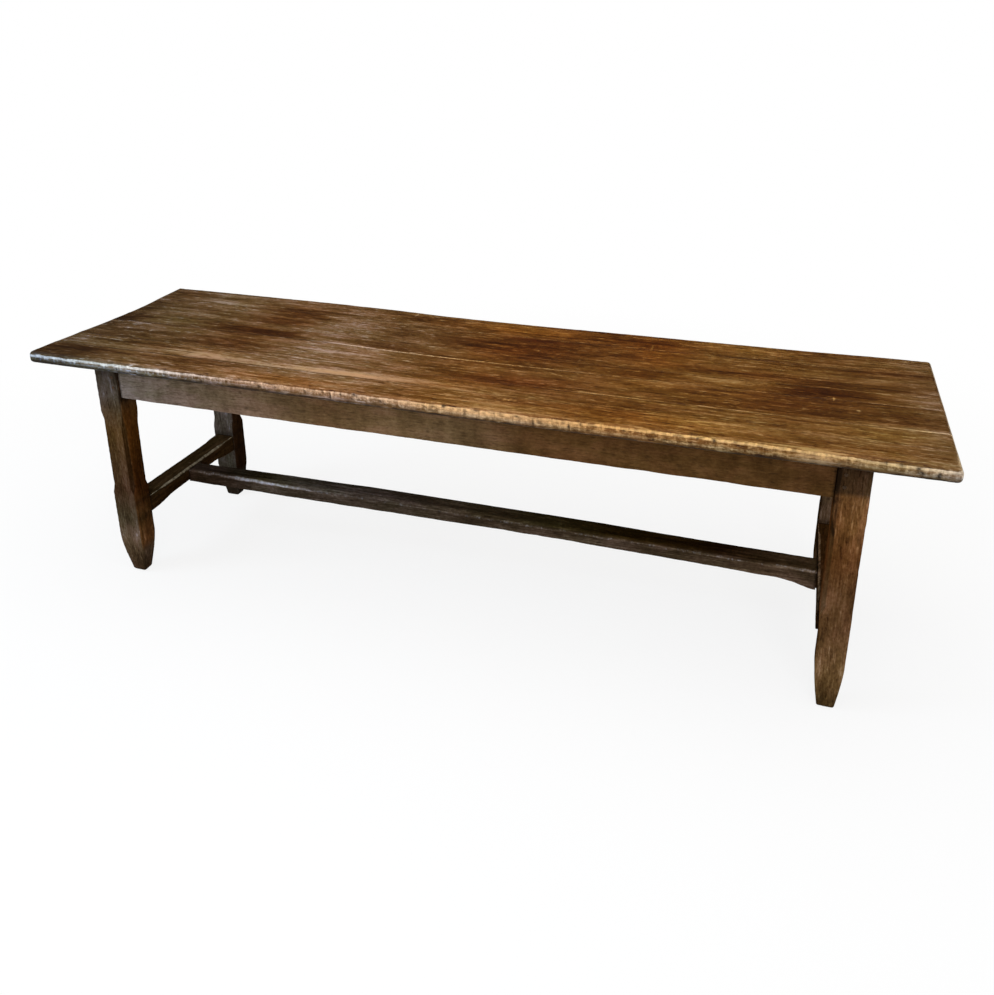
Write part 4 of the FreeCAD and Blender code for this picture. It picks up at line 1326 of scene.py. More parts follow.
class Sheet:
    """Lays out shader nodes in one tree. A value given to it is a socket or a plain number."""

    def __init__(self, tree: bpy.types.NodeTree) -> None:
        """Keeps the tree."""
        self.tree = tree

    def feed(self, inputs: Any, values: dict[Any, Any]) -> None:
        """Links inputs to their values, or sets plain numbers on them.

        Args:
            inputs: A node's inputs.
            values: What each gets, by its name or its number.
        """
        for label, value in values.items():
            if isinstance(value, bpy.types.NodeSocket):
                self.tree.links.new(value, inputs[label])
            else:
                inputs[label].default_value = value

    def node(self, kind: str, values: dict[Any, Any] | None = None, **settings: Any) -> bpy.types.Node:
        """Adds a node.

        Args:
            kind: The node's type.
            values: What its inputs get.
            **settings: Its options.

        Returns:
            The node.
        """
        made = self.tree.nodes.new(kind)
        for name, setting in settings.items():
            setattr(made, name, setting)
        self.feed(made.inputs, values or {})
        return made

    def math(self, operation: str, *values: Any, clamp: bool = False) -> bpy.types.NodeSocket:
        """Adds a Math node and gives its result."""
        values = dict(enumerate(values))
        return self.node("ShaderNodeMath", values, operation=operation, use_clamp=clamp).outputs[0]

    def vector_math(self, operation: str, *values: Any) -> bpy.types.NodeSocket:
        """Adds a Vector Math node and gives its result."""
        made = self.node("ShaderNodeVectorMath", dict(enumerate(values)), operation=operation)
        return made.outputs["Value" if operation == "LENGTH" else "Vector"]

    def noise(self, vector: Any, along: float, across: float, detail: float = 3.0, rough: float = 0.55,
              bend: float = 0.0, output: str = "Fac") -> bpy.types.NodeSocket:
        """Adds a noise.

        Args:
            vector: Where, in metres.
            along: The scale along the grain.
            across: The scale across it.
            detail: How many finer layers it has.
            rough: How strong they are.
            bend: How far it bends itself.
            output: Fac for a value, Color for a vector.

        Returns:
            The noise.
        """
        place = self.vector_math("MULTIPLY", vector, (along, across, across))
        values = {"Vector": place, "Scale": 1.0, "Detail": detail, "Roughness": rough, "Distortion": bend}
        return self.node("ShaderNodeTexNoise", values).outputs[output]

    def span(self, value: Any, low: float, high: float, start: float = 0.0,
             stop: float = 1.0) -> bpy.types.NodeSocket:
        """Maps low to start and high to stop, smoothly and clamped."""
        values = {"Value": value, "From Min": low, "From Max": high, "To Min": start, "To Max": stop}
        return self.node("ShaderNodeMapRange", values, interpolation_type="SMOOTHSTEP").outputs["Result"]

    def ramp(self, value: Any, stops: Iterable[tuple[float, Colour]]) -> bpy.types.NodeSocket:
        """Adds a colour ramp.

        Args:
            value: What picks the colour.
            stops: Places with their colours of 0 to 255.

        Returns:
            The colour.
        """
        made = self.node("ShaderNodeValToRGB", {"Fac": value})
        elements = made.color_ramp.elements
        stops = list(stops)
        while len(elements) < len(stops):
            elements.new(0.5)
        for element, (place, shade) in zip(elements, stops):
            element.position = place
            element.color = linear(shade)
        return made.outputs["Color"]

    def blend(self, share: Any, first: Any, second: Any, way: str = "MIX") -> bpy.types.NodeSocket:
        """Mixes two colours."""
        options = {"data_type": "RGBA", "blend_type": way, "clamp_factor": True}
        return self.node("ShaderNodeMix", {0: share, 6: first, 7: second}, **options).outputs[2]

    def attribute(self, name: str, output: str = "Fac") -> bpy.types.NodeSocket:
        """Reads one of the piece's fields."""
        made = self.node("ShaderNodeAttribute", attribute_type="GEOMETRY", attribute_name=name)
        return made.outputs[output]

    def coordinates(self, kind: str = "Object") -> bpy.types.NodeSocket:
        """Gives the place of each point."""
        return self.node("ShaderNodeTexCoord").outputs[kind]

    def grouped(self, tree: bpy.types.NodeTree, **values: Any) -> Any:
        """Places a group and gives its outputs."""
        return self.node("ShaderNodeGroup", values, node_tree=tree).outputs

    def surface(self, height: bpy.types.NodeSocket, relief: float, values: dict[Any, Any]) -> None:
        """Ends a material with a Principled surface that has a relief.

        Args:
            height: The height of the relief, from 0 to 1.
            relief: How high 1 is, in metres.
            values: What the surface's other inputs get.
        """
        bump = self.node("ShaderNodeBump", {"Height": height, "Strength": 1.0, "Distance": relief})
        made = self.node("ShaderNodeBsdfPrincipled", values | {"Normal": bump.outputs["Normal"]})
        self.close(made.outputs["BSDF"])

    def close(self, surface: bpy.types.NodeSocket, kind: str = "ShaderNodeOutputMaterial") -> None:
        """Ends the tree with its surface."""
        self.node(kind, {"Surface": surface})


def started(holder: bpy.types.Material | bpy.types.World) -> Sheet:
    """Turns on the nodes of a new material or world and gives its tree, emptied.

    Args:
        holder: The material or world.

    Returns:
        A sheet of its tree.
    """
    holder.use_nodes = True
    holder.node_tree.nodes.clear()
    return Sheet(holder.node_tree)


class Kind(Enum):
    """The socket kinds of a node group."""

    NUMBER = "NodeSocketFloat"
    VECTOR = "NodeSocketVector"


@dataclass(frozen=True)
class Port:
    """A named input or output of a node group."""

    name: str
    kind: Kind = Kind.NUMBER
    default: float = 0.0


def new_group(name: str, inputs: Sequence[Port], outputs: Sequence[Port]) -> tuple[Sheet, Any, Any]:
    """Starts a shader node group.

    Args:
        name: The group's name.
        inputs: Its inputs.
        outputs: Its outputs.

    Returns:
        A sheet of its tree, its input sockets and its output sockets.
    """
    tree = bpy.data.node_groups.new(name, "ShaderNodeTree")
    for ports, way in ((inputs, "INPUT"), (outputs, "OUTPUT")):
        for port in ports:
            socket = tree.interface.new_socket(port.name, in_out=way, socket_type=port.kind.value)
            if port.kind is Kind.NUMBER:
                socket.default_value = port.default
    entry = tree.nodes.new("NodeGroupInput")
    leaving = tree.nodes.new("NodeGroupOutput")
    return Sheet(tree), entry.outputs, leaving.inputs


# The grain's noises: scale along and across the fibres, detail, roughness, distortion
GRAIN_NOISES = {
    "Fibre": (6.0, 280.0, 5.0, 0.62),
    "Streak": (3.0, 62.0, 5.0, 0.62, 0.12),
    "Mottle": (85.0, 130.0, 5.0, 0.72),
    "Flecks": (24.0, 190.0, 3.0, 0.6),
    "Pores": (36.0, 420.0, 2.0, 0.5),
    "Patina": (2.4, 11.0, 4.0, 0.6, 0.4),
    "Tinge": (9.0, 24.0, 3.0, 0.5, 0.6),
}


class GroupShelf:
    """The effects that several finishes share, each built once."""

    def __init__(self) -> None:
        """Builds every group."""
        self.grain = self._grain()
        self.edge_wear_and_painted_light = self._edge_wear_and_painted_light()
        self.dirt = self._dirt_and_shade()
        self.line = self._line()

    @staticmethod
    def _grain() -> bpy.types.NodeTree:
        """Builds the grain of sawn wood, over a vector in metres with X along the fibres.

        The figure is growth rings round the X axis: the distance from it, bent by a slow noise, times the
        rings per metre, of which the fraction is eased up and dropped. Fibres, streaks and pores are
        noises stretched along X, the mottle and flecks are quick ones, and patina and tinge are slow.

        Returns:
            The group.
        """
        outputs = ("Figure", *GRAIN_NOISES, "Height")
        ports = (Port("Vector", Kind.VECTOR), Port("Rings", default=110.0), Port("Warp", default=0.02))
        sheet, entry, leaving = new_group("wood_grain", ports, tuple(Port(name) for name in outputs))
        vector = entry["Vector"]
        bend = sheet.noise(vector, 1.5, 9.0, 2.0, output="Color")
        centred = sheet.vector_math("SUBTRACT", bend, (0.5, 0.5, 0.5))
        warp = sheet.node("ShaderNodeVectorMath", {0: centred, "Scale": entry["Warp"]}, operation="SCALE")
        moved = sheet.vector_math("ADD", vector, warp.outputs[0])
        radius = sheet.vector_math("LENGTH", sheet.vector_math("MULTIPLY", moved, (0.0, 1.0, 1.0)))
        uneven = sheet.noise(vector, 0.5, 5.0, 2.0)
        rings = sheet.math("MULTIPLY_ADD", uneven, 3.0, sheet.math("MULTIPLY", radius, entry["Rings"]))
        share = sheet.math("FRACT", rings)
        rise, drop = sheet.span(share, 0.0, 0.72), sheet.span(share, 0.78, 1.0, 1.0, 0.0)
        values = {label: sheet.noise(vector, *numbers) for label, numbers in GRAIN_NOISES.items()}
        dashes = values["Flecks"]
        dark = sheet.span(dashes, 0.42, 0.28)
        values["Flecks"] = sheet.math("SUBTRACT", sheet.span(dashes, 0.55, 0.72), dark)
        values["Pores"] = sheet.span(values["Pores"], 0.58, 0.68)
        values["Figure"] = sheet.math("MULTIPLY", rise, drop)
        height = sheet.math("MULTIPLY_ADD", values["Figure"], 0.25, values["Fibre"])
        height = sheet.math("MULTIPLY_ADD", values["Mottle"], 0.8, height)
        values["Height"] = sheet.math("MULTIPLY_ADD", values["Pores"], -0.5, height)
        sheet.feed(leaving, values)
        return sheet.tree

    @staticmethod
    def _edge_wear_and_painted_light() -> bpy.types.NodeTree:
        """Builds worn arrises and painted highlights: the wear of the piece, broken up by blotches, by cuts
        across and by specks.

        Returns:
            The group.
        """
        ports = (Port("Vector", Kind.VECTOR), Port("Wear"))
        sheet, entry, leaving = new_group("edge_wear_and_painted_light", ports, (Port("Mask"), Port("Mottle")))
        vector = entry["Vector"]
        blotch = sheet.noise(vector, 70.0, 150.0, 4.0, 0.65)
        cuts = sheet.noise(vector, 95.0, 24.0, 4.0, 0.6, 0.3)
        specks = sheet.noise(vector, 210.0, 260.0, 3.0, 0.6)
        broken = sheet.math("MULTIPLY_ADD", blotch, 0.45, sheet.math("MULTIPLY", specks, 0.3))
        broken = sheet.math("MULTIPLY_ADD", cuts, 0.5, broken)
        level = sheet.math("ADD", entry["Wear"], sheet.math("MULTIPLY_ADD", broken, 1.7, -1.0625))
        mask = sheet.math("MULTIPLY", sheet.span(level, 0.10, 0.85), sheet.span(entry["Wear"], 0.0, 0.12))
        mottle = sheet.span(sheet.math("ADD", blotch, cuts), 0.78, 1.22)
        sheet.feed(leaving, {"Mask": mask, "Mottle": mottle})
        return sheet.tree

    @staticmethod
    def _dirt_and_shade() -> bpy.types.NodeTree:
        """Builds held dirt and painted shade: the dark field of the piece, thinned by a noise.

        Returns:
            The group.
        """
        ports = (Port("Vector", Kind.VECTOR), Port("Grime"))
        sheet, entry, leaving = new_group("held_dirt_and_shade", ports, (Port("Mask"),))
        cloud = sheet.noise(entry["Vector"], 30.0, 70.0, 4.0, 0.6)
        thin = sheet.math("MULTIPLY", entry["Grime"], sheet.span(cloud, 0.25, 0.65, 0.45, 1.25))
        sheet.feed(leaving, {"Mask": sheet.math("MINIMUM", thin, 1.0)})
        return sheet.tree

    @staticmethod
    def _line() -> bpy.types.NodeTree:
        """Builds one long fibre that shows: a soft band round a parabola over X, faded at both ends.

        Returns:
            The group.
        """
        ports = tuple(Port(name) for name in ("X", "Y", "From", "To", "At", "Slope", "Bend", "Half"))
        sheet, entry, leaving = new_group("grain_line", ports, (Port("Mask"),))
        length = sheet.math("SUBTRACT", entry["To"], entry["From"])
        share = sheet.math("DIVIDE", sheet.math("SUBTRACT", entry["X"], entry["From"]), length)
        rise = sheet.math("MULTIPLY_ADD", entry["Bend"], share, entry["Slope"])
        line = sheet.math("MULTIPLY_ADD", rise, share, entry["At"])
        away = sheet.math("ABSOLUTE", sheet.math("SUBTRACT", entry["Y"], line))
        band = sheet.span(sheet.math("DIVIDE", away, entry["Half"]), 0.2, 1.0, 1.0, 0.0)
        fade = sheet.math("MULTIPLY", sheet.span(share, 0.0, 0.2), sheet.span(share, 0.8, 1.0, 1.0, 0.0))
        sheet.feed(leaving, {"Mask": sheet.math("MULTIPLY", band, fade)})
        return sheet.tree


@dataclass(frozen=True)
class WaxedWood:
    """A finish of old wood under wax. Shades run from the darkest fibre to the palest, as seen."""

    shades: tuple[Colour, Colour, Colour, Colour, Colour]
    pale: Colour = (196, 160, 110)
    # The dirt colour is also that of painted shade and of the pores.
    dirt: Colour = (22, 14, 8)
    rings: float = 110.0
    warp: float = 0.02
    middle: float = 0.5
    figure: float = 0.14
    fibre: float = 0.9
    streak: float = 0.9
    mottle: float = 0.9
    patina: float = 0.8
    roughness: float = 0.42
    gloss: float = 0.25
    relief: float = 0.35 * MM
    pale_share: float = 0.85
    flecks: float = 0.2
    polish: float = 0.06
    tinge: float = 0.4
    lines: tuple[GrainLine, ...] = ()

    SHADE_PLACES = (0.0, 0.26, 0.5, 0.74, 1.0)
    COOL_TINGE = (0.975, 1.012, 0.95, 1.0)
    WARM_TINGE = (1.03, 0.988, 1.04, 1.0)
    WORN_SHARE = 0.77
    DIRT_AND_SHADE_SHARE = 0.86
    PORE_SHARE = 0.42

    def material(self, shelf: GroupShelf, name: str, run: Run, pith: Triple, lean: float,
                 fields: bool = True) -> bpy.types.Material:
        """Builds the finish for one piece.

        Args:
            shelf: The shared groups.
            name: The material's name.
            run: The way the piece's grain runs.
            pith: Where the middle of its tree lies from the piece, with a shift along the grain.
            lean: How far the tree's middle leans from the grain, in degrees, which draws the figure out.
            fields: Whether the piece carries the fields of wear and tint.

        Returns:
            The material.
        """
        material = bpy.data.materials.new(name)
        sheet = started(material)
        vector = self.vector(sheet, run, pith, lean)
        grain = sheet.grouped(shelf.grain, Vector=vector, Rings=self.rings, Warp=self.warp)
        value: Any = self.middle
        for label in ("Figure", "Fibre", "Streak", "Mottle", "Patina", "Tinge"):
            offset = sheet.math("SUBTRACT", grain[label], 0.5)
            value = sheet.math("MULTIPLY_ADD", offset, getattr(self, label.lower()), value)
        value = sheet.math("MULTIPLY_ADD", grain["Flecks"], self.flecks, value)
        if self.lines:
            value = sheet.math("ADD", value, self.drawn_lines(sheet, shelf, grain))
        if fields:
            lift = sheet.math("MULTIPLY_ADD", sheet.attribute("tint", "Alpha"), 2.0, -1.0)
            value = sheet.math("ADD", value, lift)
        colour = sheet.ramp(value, zip(self.SHADE_PLACES, self.shades))
        hue = sheet.blend(sheet.span(grain["Tinge"], 0.36, 0.64), self.COOL_TINGE, self.WARM_TINGE)
        colour = sheet.blend(1.0, colour, hue, "MULTIPLY")
        wear_and_highlight_mask: Any = 0.0
        dirt_and_shade_mask: Any = 0.0
        # The wear mask also carries painted highlight, the tint painted light and shade, and the dirt mask
        # painted shade.
        if fields:
            worn = sheet.grouped(shelf.edge_wear_and_painted_light, Vector=vector, Wear=sheet.attribute("wear_and_highlight"))
            wear_and_highlight_mask = worn["Mask"]
            dull = linear(tuple(self.WORN_SHARE * part for part in self.pale))
            pale = sheet.blend(worn["Mottle"], dull, linear(self.pale))
            colour = sheet.blend(sheet.math("MULTIPLY", wear_and_highlight_mask, self.pale_share), colour, pale)
            colour = sheet.blend(1.0, colour, sheet.attribute("tint", "Color"), "MULTIPLY")
            dirt_and_shade_mask = sheet.grouped(shelf.dirt, Vector=vector, Grime=sheet.attribute("dirt_and_shade"))["Mask"]
            cover = sheet.math("MULTIPLY", dirt_and_shade_mask, self.DIRT_AND_SHADE_SHARE)
            colour = sheet.blend(cover, colour, linear(self.dirt))
        pores = sheet.math("MULTIPLY", grain["Pores"], self.PORE_SHARE)
        colour = sheet.blend(pores, colour, linear(self.dirt))
        self.shader(sheet, colour, grain, wear_and_highlight_mask, dirt_and_shade_mask)
        return material

    def drawn_lines(self, sheet: Sheet, shelf: GroupShelf, grain: Any) -> bpy.types.NodeSocket:
        """Adds up the fibres that show, wavering with the streaks and broken up by the mottle.

        Args:
            sheet: The material's sheet.
            shelf: The shared groups.
            grain: The grain's outputs.

        Returns:
            How much they lift the shade.
        """
        parts = sheet.node("ShaderNodeSeparateXYZ", {"Vector": sheet.coordinates()})
        waver = sheet.math("MULTIPLY", sheet.math("SUBTRACT", grain["Patina"], 0.5), 16 * MM)
        waver = sheet.math("MULTIPLY_ADD", sheet.math("SUBTRACT", grain["Streak"], 0.5), 9 * MM, waver)
        across = sheet.math("ADD", parts.outputs["Y"], waver)
        total: Any = 0.0
        for line in self.lines:
            bow = line.bow * MM
            mask = sheet.grouped(
                shelf.line, X=parts.outputs["X"], Y=across, From=line.x_from, To=line.x_to, At=line.y_from,
                Slope=line.y_to - line.y_from + 4.0 * bow, Bend=-4.0 * bow, Half=line.half * MM,
            )["Mask"]
            total = sheet.math("MULTIPLY_ADD", mask, line.lift, total)
        return sheet.math("MULTIPLY", total, sheet.span(grain["Mottle"], 0.36, 0.6, 0.45, 1.15))

    @staticmethod
    def vector(sheet: Sheet, run: Run, pith: Triple, lean: float) -> bpy.types.NodeSocket:
        """Turns object coordinates so that X runs along the grain, and moves the pith to the X axis.

        Args:
            sheet: The material's sheet.
            run: The way of the grain.
            pith: Where the pith lies.
            lean: How far it leans, in degrees.

        Returns:
            The vector.
        """
        quarter = math.pi / 2
        turns = {
            Run.ALONG_X: (0.0, 0.0, 0.0),
            Run.ALONG_Y: (0.0, 0.0, -quarter),
            Run.ALONG_Z: (0.0, quarter, 0.0),
        }
        laid = sheet.node("ShaderNodeMapping", {"Vector": sheet.coordinates(), "Rotation": turns[run]})
        leant = (0.0, math.radians(lean), math.radians(lean * 0.6))
        values = {"Vector": laid.outputs["Vector"], "Location": pith, "Rotation": leant}
        return sheet.node("ShaderNodeMapping", values).outputs["Vector"]

    def shader(self, sheet: Sheet, colour: Any, grain: Any, wear_and_highlight: Any, dirt: Any) -> None:
        """Adds the waxed surface: glossier on bare flats than under dirt and painted shade, and smoother
        still where wear and painted highlight lie.

        Args:
            sheet: The material's sheet.
            colour: The colour.
            grain: The grain's outputs.
            wear_and_highlight: The mask of wear and of painted highlight.
            dirt: The mask of dirt and of painted shade.
        """
        rough = sheet.math("MULTIPLY_ADD", sheet.math("SUBTRACT", grain["Fibre"], 0.5), 0.5, self.roughness)
        rough = sheet.math("MULTIPLY_ADD", sheet.math("SUBTRACT", grain["Patina"], 0.5), 0.4, rough)
        rough = sheet.math("MULTIPLY_ADD", wear_and_highlight, -self.polish, rough)
        rough = sheet.math("MULTIPLY_ADD", dirt, 0.25, rough, clamp=True)
        values = {"Base Color": colour, "Roughness": rough, "Specular IOR Level": self.gloss}
        sheet.surface(grain["Height"], self.relief, values)


# Its pale is the colour of wear and of the painted highlights on the front edge's crest and the seams.
TOP_WOOD = WaxedWood(
    shades=((47, 24, 5), (72, 44, 15), (97, 68, 33), (123, 95, 64), (156, 136, 114)),
    rings=95.0, warp=0.03, figure=0.12, fibre=0.85, streak=0.95, mottle=0.8, patina=0.6, roughness=0.38,
    gloss=0.10, pale=(226, 200, 166), flecks=0.58, tinge=0.6,
)
APRON_WOOD = WaxedWood(
    shades=((42, 29, 16), (66, 49, 31), (88, 68, 46), (108, 86, 62), (134, 110, 84)),
    rings=120.0, figure=0.04, fibre=0.12, streak=0.12, mottle=0.65, patina=0.8, roughness=0.5, gloss=0.0,
    pale=(150, 124, 92), pale_share=0.4, flecks=0.08,
)
LEG_WOOD = WaxedWood(
    shades=((37, 20, 7), (61, 38, 18), (86, 58, 32), (109, 79, 50), (136, 105, 77)),
    rings=150.0, figure=0.06, fibre=0.28, streak=0.25, mottle=0.8, patina=0.9, roughness=0.48, gloss=0.0,
    pale=(150, 116, 78), pale_share=0.35, tinge=0.6, flecks=0.3, relief=0.2 * MM,
)
# Its pale is the colour of wear and of the painted highlight along the centre stretcher's line.
STRETCHER_WOOD = WaxedWood(
    shades=((14, 7, 2), (28, 17, 8), (46, 32, 19), (70, 53, 37), (104, 84, 64)),
    rings=140.0, figure=0.06, fibre=0.5, streak=0.5, mottle=0.6, patina=0.8, roughness=0.42, gloss=0.0,
    pale=(180, 164, 152), pale_share=0.6, polish=0.12,
)
INNER_WOOD = WaxedWood(
    shades=((48, 34, 20), (74, 54, 33), (100, 75, 48), (126, 98, 66), (156, 126, 90)),
    rings=130.0, figure=0.2, fibre=0.9, streak=0.7, mottle=0.4, patina=0.9, roughness=0.7, gloss=0.1,
)
PEG_WOOD = WaxedWood(
    shades=((30, 19, 10), (44, 29, 16), (60, 42, 25), (78, 56, 35), (98, 72, 47)),
    rings=420.0, figure=0.3, fibre=0.6, streak=0.5, mottle=0.3, patina=0.5, roughness=0.5, gloss=0.12,
)


@dataclass(frozen=True)
class DarkIron:
    """The finish of the hand-made screws: dark iron with rust in its hollows."""

    clean: Colour = (66, 62, 58)
    rust: Colour = (92, 52, 30)
    roughness: float = 0.55
    relief: float = 0.15 * MM

    def material(self, name: str) -> bpy.types.Material:
        """Builds the finish: a noise parts clean metal from rust and roughens the surface.

        Args:
            name: Its name.

        Returns:
            The material.
        """
        material = bpy.data.materials.new(name)
        sheet = started(material)
        cloud = sheet.noise(sheet.coordinates(), 420.0, 420.0, 4.0, 0.65)
        rusty = sheet.span(cloud, 0.44, 0.60)
        shade = sheet.blend(rusty, linear(self.clean), linear(self.rust))
        bare = sheet.math("SUBTRACT", 0.9, sheet.math("MULTIPLY", rusty, 0.8))
        rough = sheet.math("MULTIPLY_ADD", cloud, 0.4, self.roughness - 0.2)
        sheet.surface(cloud, self.relief, {"Base Color": shade, "Metallic": bare, "Roughness": rough})
        return material


@dataclass
class Table:
    """The whole table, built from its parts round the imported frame."""

    LINE_HEIGHT = 0.2415
    INNER_ARRIS = 1.030
    RAGGED_SHARE = 0.22
    # Tints of the end stretchers, by which the tops are painted lighter than the sides.
    RIGHT_UPPER = (2.95, 2.4, 1.6)
    LEFT_UPPER = (1.35, 1.45, 1.2)
    END_SIDES = (0.90, 0.78, 0.55)

    shelf: GroupShelf
    nodes: dict[str, bpy.types.Object]

    def __post_init__(self) -> None:
        """Reads the places that the rails share with the legs."""
        low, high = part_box("front_right_leg")
        self.leg_x, self.leg_y = low.x, -high.y
        self.end_rail_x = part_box("right_stretcher")[0].x

    def wood(self, finish: WaxedWood, name: str, run: Run, seed: int,
             lean: float = 1.2) -> bpy.types.Material:
        """Gives a piece its own cut of a finish: another stretch of another tree.

        Args:
            finish: The finish.
            name: The piece's name.
            run: The way of its grain.
            seed: The seed of its cut.
            lean: How far the pith leans.

        Returns:
            The material.
        """
        random = np.random.default_rng(seed)
        away = random.uniform(0.05, 0.13)
        angle = random.uniform(0.0, 2.0 * math.pi)
        pith = (random.uniform(-6.0, 6.0), away * math.cos(angle), away * math.sin(angle))
        return finish.material(self.shelf, name + "_wood", run, pith, lean)

    def top(self) -> None:
        """Builds the six planks."""
        slab = TableTop()
        for number in range(1, slab.planks + 1):
            low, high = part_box(f"top_plank_{number}")
            lines = tuple(line for line in GRAIN_LINES if line.crosses(low.y, high.y))
            cut = replace(TOP_WOOD, middle=TOP_WOOD.middle + PLANK_LIFTS[number - 1], lines=lines)
            slab.plank(number, self.wood(cut, f"plank_{number}", Run.ALONG_X, 40 + number, lean=0.9))

    def legs(self) -> None:
        """Builds the four legs."""
        for index, (side, face) in enumerate(((-1, -1), (1, -1), (-1, 1), (1, 1))):
            node = ("front" if face < 0 else "back") + ("_left" if side < 0 else "_right") + "_leg"
            seed = 60 + index
            leg = Leg(side, face, node, **LEG_FORMS[node])
            leg.build(self.wood(LEG_WOOD, node, Run.ALONG_Z, seed), seed)

    def rail(self, finish: WaxedWood, dress: Dressing | None, *place: Any, **form: Any) -> None:
        """Builds one rail, from its node, run, slot, half length and seed, and from the rest of its form."""
        rail = Rail(*place, **form)
        rail.build(self.wood(finish, rail.node, rail.run, rail.seed), dress)

    def aprons(self) -> None:
        """Builds the front and back aprons, then the left and right ones."""
        for node, face in (("front_apron", -1), ("back_apron", 1)):
            self.rail(
                APRON_WOOD, self.dress_long_apron, node, Run.ALONG_X, Part.APRON, self.leg_x, 20 + face,
                shoulder_wear=(4 * MM, 1.5 * MM) if face < 0 else (1 * MM, 1 * MM), flats=(8, 24),
                washes=(APRON_WASH,), arris_wear=0.4, bruise_count=130, bruise_sizes=(2.0, 4.0),
            )
        for node, side in (("left_apron", -1), ("right_apron", 1)):
            self.rail(APRON_WOOD, None, node, Run.ALONG_Y, Part.APRON, self.leg_y, 30 + side, flats=(8, 24))

    def stretchers(self) -> None:
        """Builds the two end stretchers and the centre one between them."""
        for node, side in (("left_stretcher", -1), ("right_stretcher", 1)):
            self.rail(
                STRETCHER_WOOD, self.dress_end_stretcher, node, Run.ALONG_Y, Part.STRETCHER, self.leg_y,
                10 + side, chamfer=8 * MM, relief=11 * MM, flats=(12, 10), arris_wear=0.6,
            )
        self.rail(
            STRETCHER_WOOD, self.dress_centre_stretcher, "centre_stretcher", Run.ALONG_X, Part.STRETCHER,
            self.end_rail_x, 15, chamfer=14 * MM, soft_chamfer=0.6, chamfer_stop=2 * MM,
            chamfer_runout=6 * MM, rear_chamfer=STRETCHER_REAR, relief=8.3 * MM, low_end_share=0.8,
            low_start=6 * MM, hollow=8 * MM, end_drop=12 * MM, flats=(12, 10), arris_wear=0.0,
            washes=(STRETCHER_WASH,),
        )

    @staticmethod
    def dress_long_apron(rings: np.ndarray, fields: Fields) -> None:
        """Paints shadow on the apron's top, under the slab, and adds soft upright blotches.

        Args:
            rings: The piece's points.
            fields: The fields to change.
        """
        strength = np.interp(rings[..., 0], (-0.9, -0.5), (0.1, 0.8))
        fields.dirt_and_shade += strength * smooth(rings[..., 2], 0.704, 0.721)
        fields.lift += 0.05 * WaveField(99, (0.05, 1.0, 0.16)).at(rings)

    def dress_centre_stretcher(self, rings: np.ndarray, fields: Fields) -> None:
        """Paints a highlight on a worn line at the foot of the chamfer, most near the left end, and tones
        the top with painted sheen.

        Args:
            rings: The piece's points.
            fields: The fields to change.
        """
        x, y, z = rings[..., 0], rings[..., 1], rings[..., 2]
        wander = WaveField(97, (0.10, 0.05, 0.05)).at(rings)
        line = bell(z + 1.2 * MM * wander, self.LINE_HEIGHT, 3.4 * MM) * (1.0 - smooth(y, -0.030, -0.018))
        rear_line = 0.4 * bell(z, self.LINE_HEIGHT, 5 * MM) * smooth(y, 0.018, 0.030)
        strength = np.interp(x, *STRETCHER_LINE)
        # The line is wear with a painted highlight, as wear and lift.
        fields.wear_and_highlight += 0.45 * strength * np.maximum(line, rear_line)
        fields.lift += 0.58 * strength * line
        STRETCHER_TOP_WASH.on(rings, fields, smooth(z, 0.240, 0.250))

    def dress_end_stretcher(self, rings: np.ndarray, fields: Fields) -> None:
        """Paints the top lighter than the sides. The left one's inner arris is pale, with wear and painted
        highlight.

        Args:
            rings: The piece's points.
            fields: The fields to change.
        """
        x, y, z = rings[..., 0], rings[..., 1], rings[..., 2]
        right = x.mean() > 0.0
        if not right:
            ragged = np.clip(0.35 + 0.9 * WaveField(98, (0.05, 0.05, 0.05)).at(rings), 0.0, 1.0)
            arris = bell(np.abs(x), self.INNER_ARRIS, 3 * MM)
            fields.wear_and_highlight += self.RAGGED_SHARE * ragged * arris * smooth(z, 0.242, 0.248)
        # Painted light: the top is tinted lighter than the sides.
        top = smooth(z, 0.240, 0.249)[..., None]
        above = np.asarray(self.RIGHT_UPPER if right else self.LEFT_UPPER)
        above = above * (1.0 - 0.75 * right * smooth(-y, 0.02, 0.15))[..., None]
        fields.tint *= top * above + (1.0 - top) * np.asarray(self.END_SIDES)

    def hidden_parts(self) -> None:
        """Dresses the nodes that keep their own shape: the joinery inside, the pegs and the screws."""
        for number in range(1, 6):
            self.dress_node(f"top_tongue_{number}", INNER_WOOD, Run.ALONG_X, 80 + number)
        for index, place in enumerate(("left", "middle", "right")):
            self.dress_node(f"{place}_batten", INNER_WOOD, Run.ALONG_Y, 90 + index)
        self.dress_node("top_buttons", INNER_WOOD, Run.ALONG_X, 95)
        self.dress_node("apron_pegs", PEG_WOOD, Run.ALONG_Z, 96)
        self.dress_node("stretcher_pegs", PEG_WOOD, Run.ALONG_X, 97)
        iron = DarkIron().material("screw_iron")
        for node in ("batten_screws", "button_screws"):
            self.assign(node, iron)

    def dress_node(self, node: str, finish: WaxedWood, run: Run, seed: int) -> None:
        """Gives a node its own cut of a finish that needs no fields.

        Args:
            node: The node.
            finish: The finish.
            run: The way of its grain.
            seed: The seed of its cut.
        """
        random = np.random.default_rng(seed)
        pith = (random.uniform(-6.0, 6.0), random.uniform(0.03, 0.09), random.uniform(0.03, 0.09))
        self.assign(node, finish.material(self.shelf, node + "_wood", run, pith, 1.5, fields=False))

    def assign(self, node: str, material: bpy.types.Material) -> None:
        """Puts one material on a node, in place of what it came with.

        Args:
            node: The node.
            material: The material.
        """
        slots = self.nodes[node].data.materials
        slots.clear()
        slots.append(material)
        LOG.info("%s keeps its shape and gets %s", node, material.name)


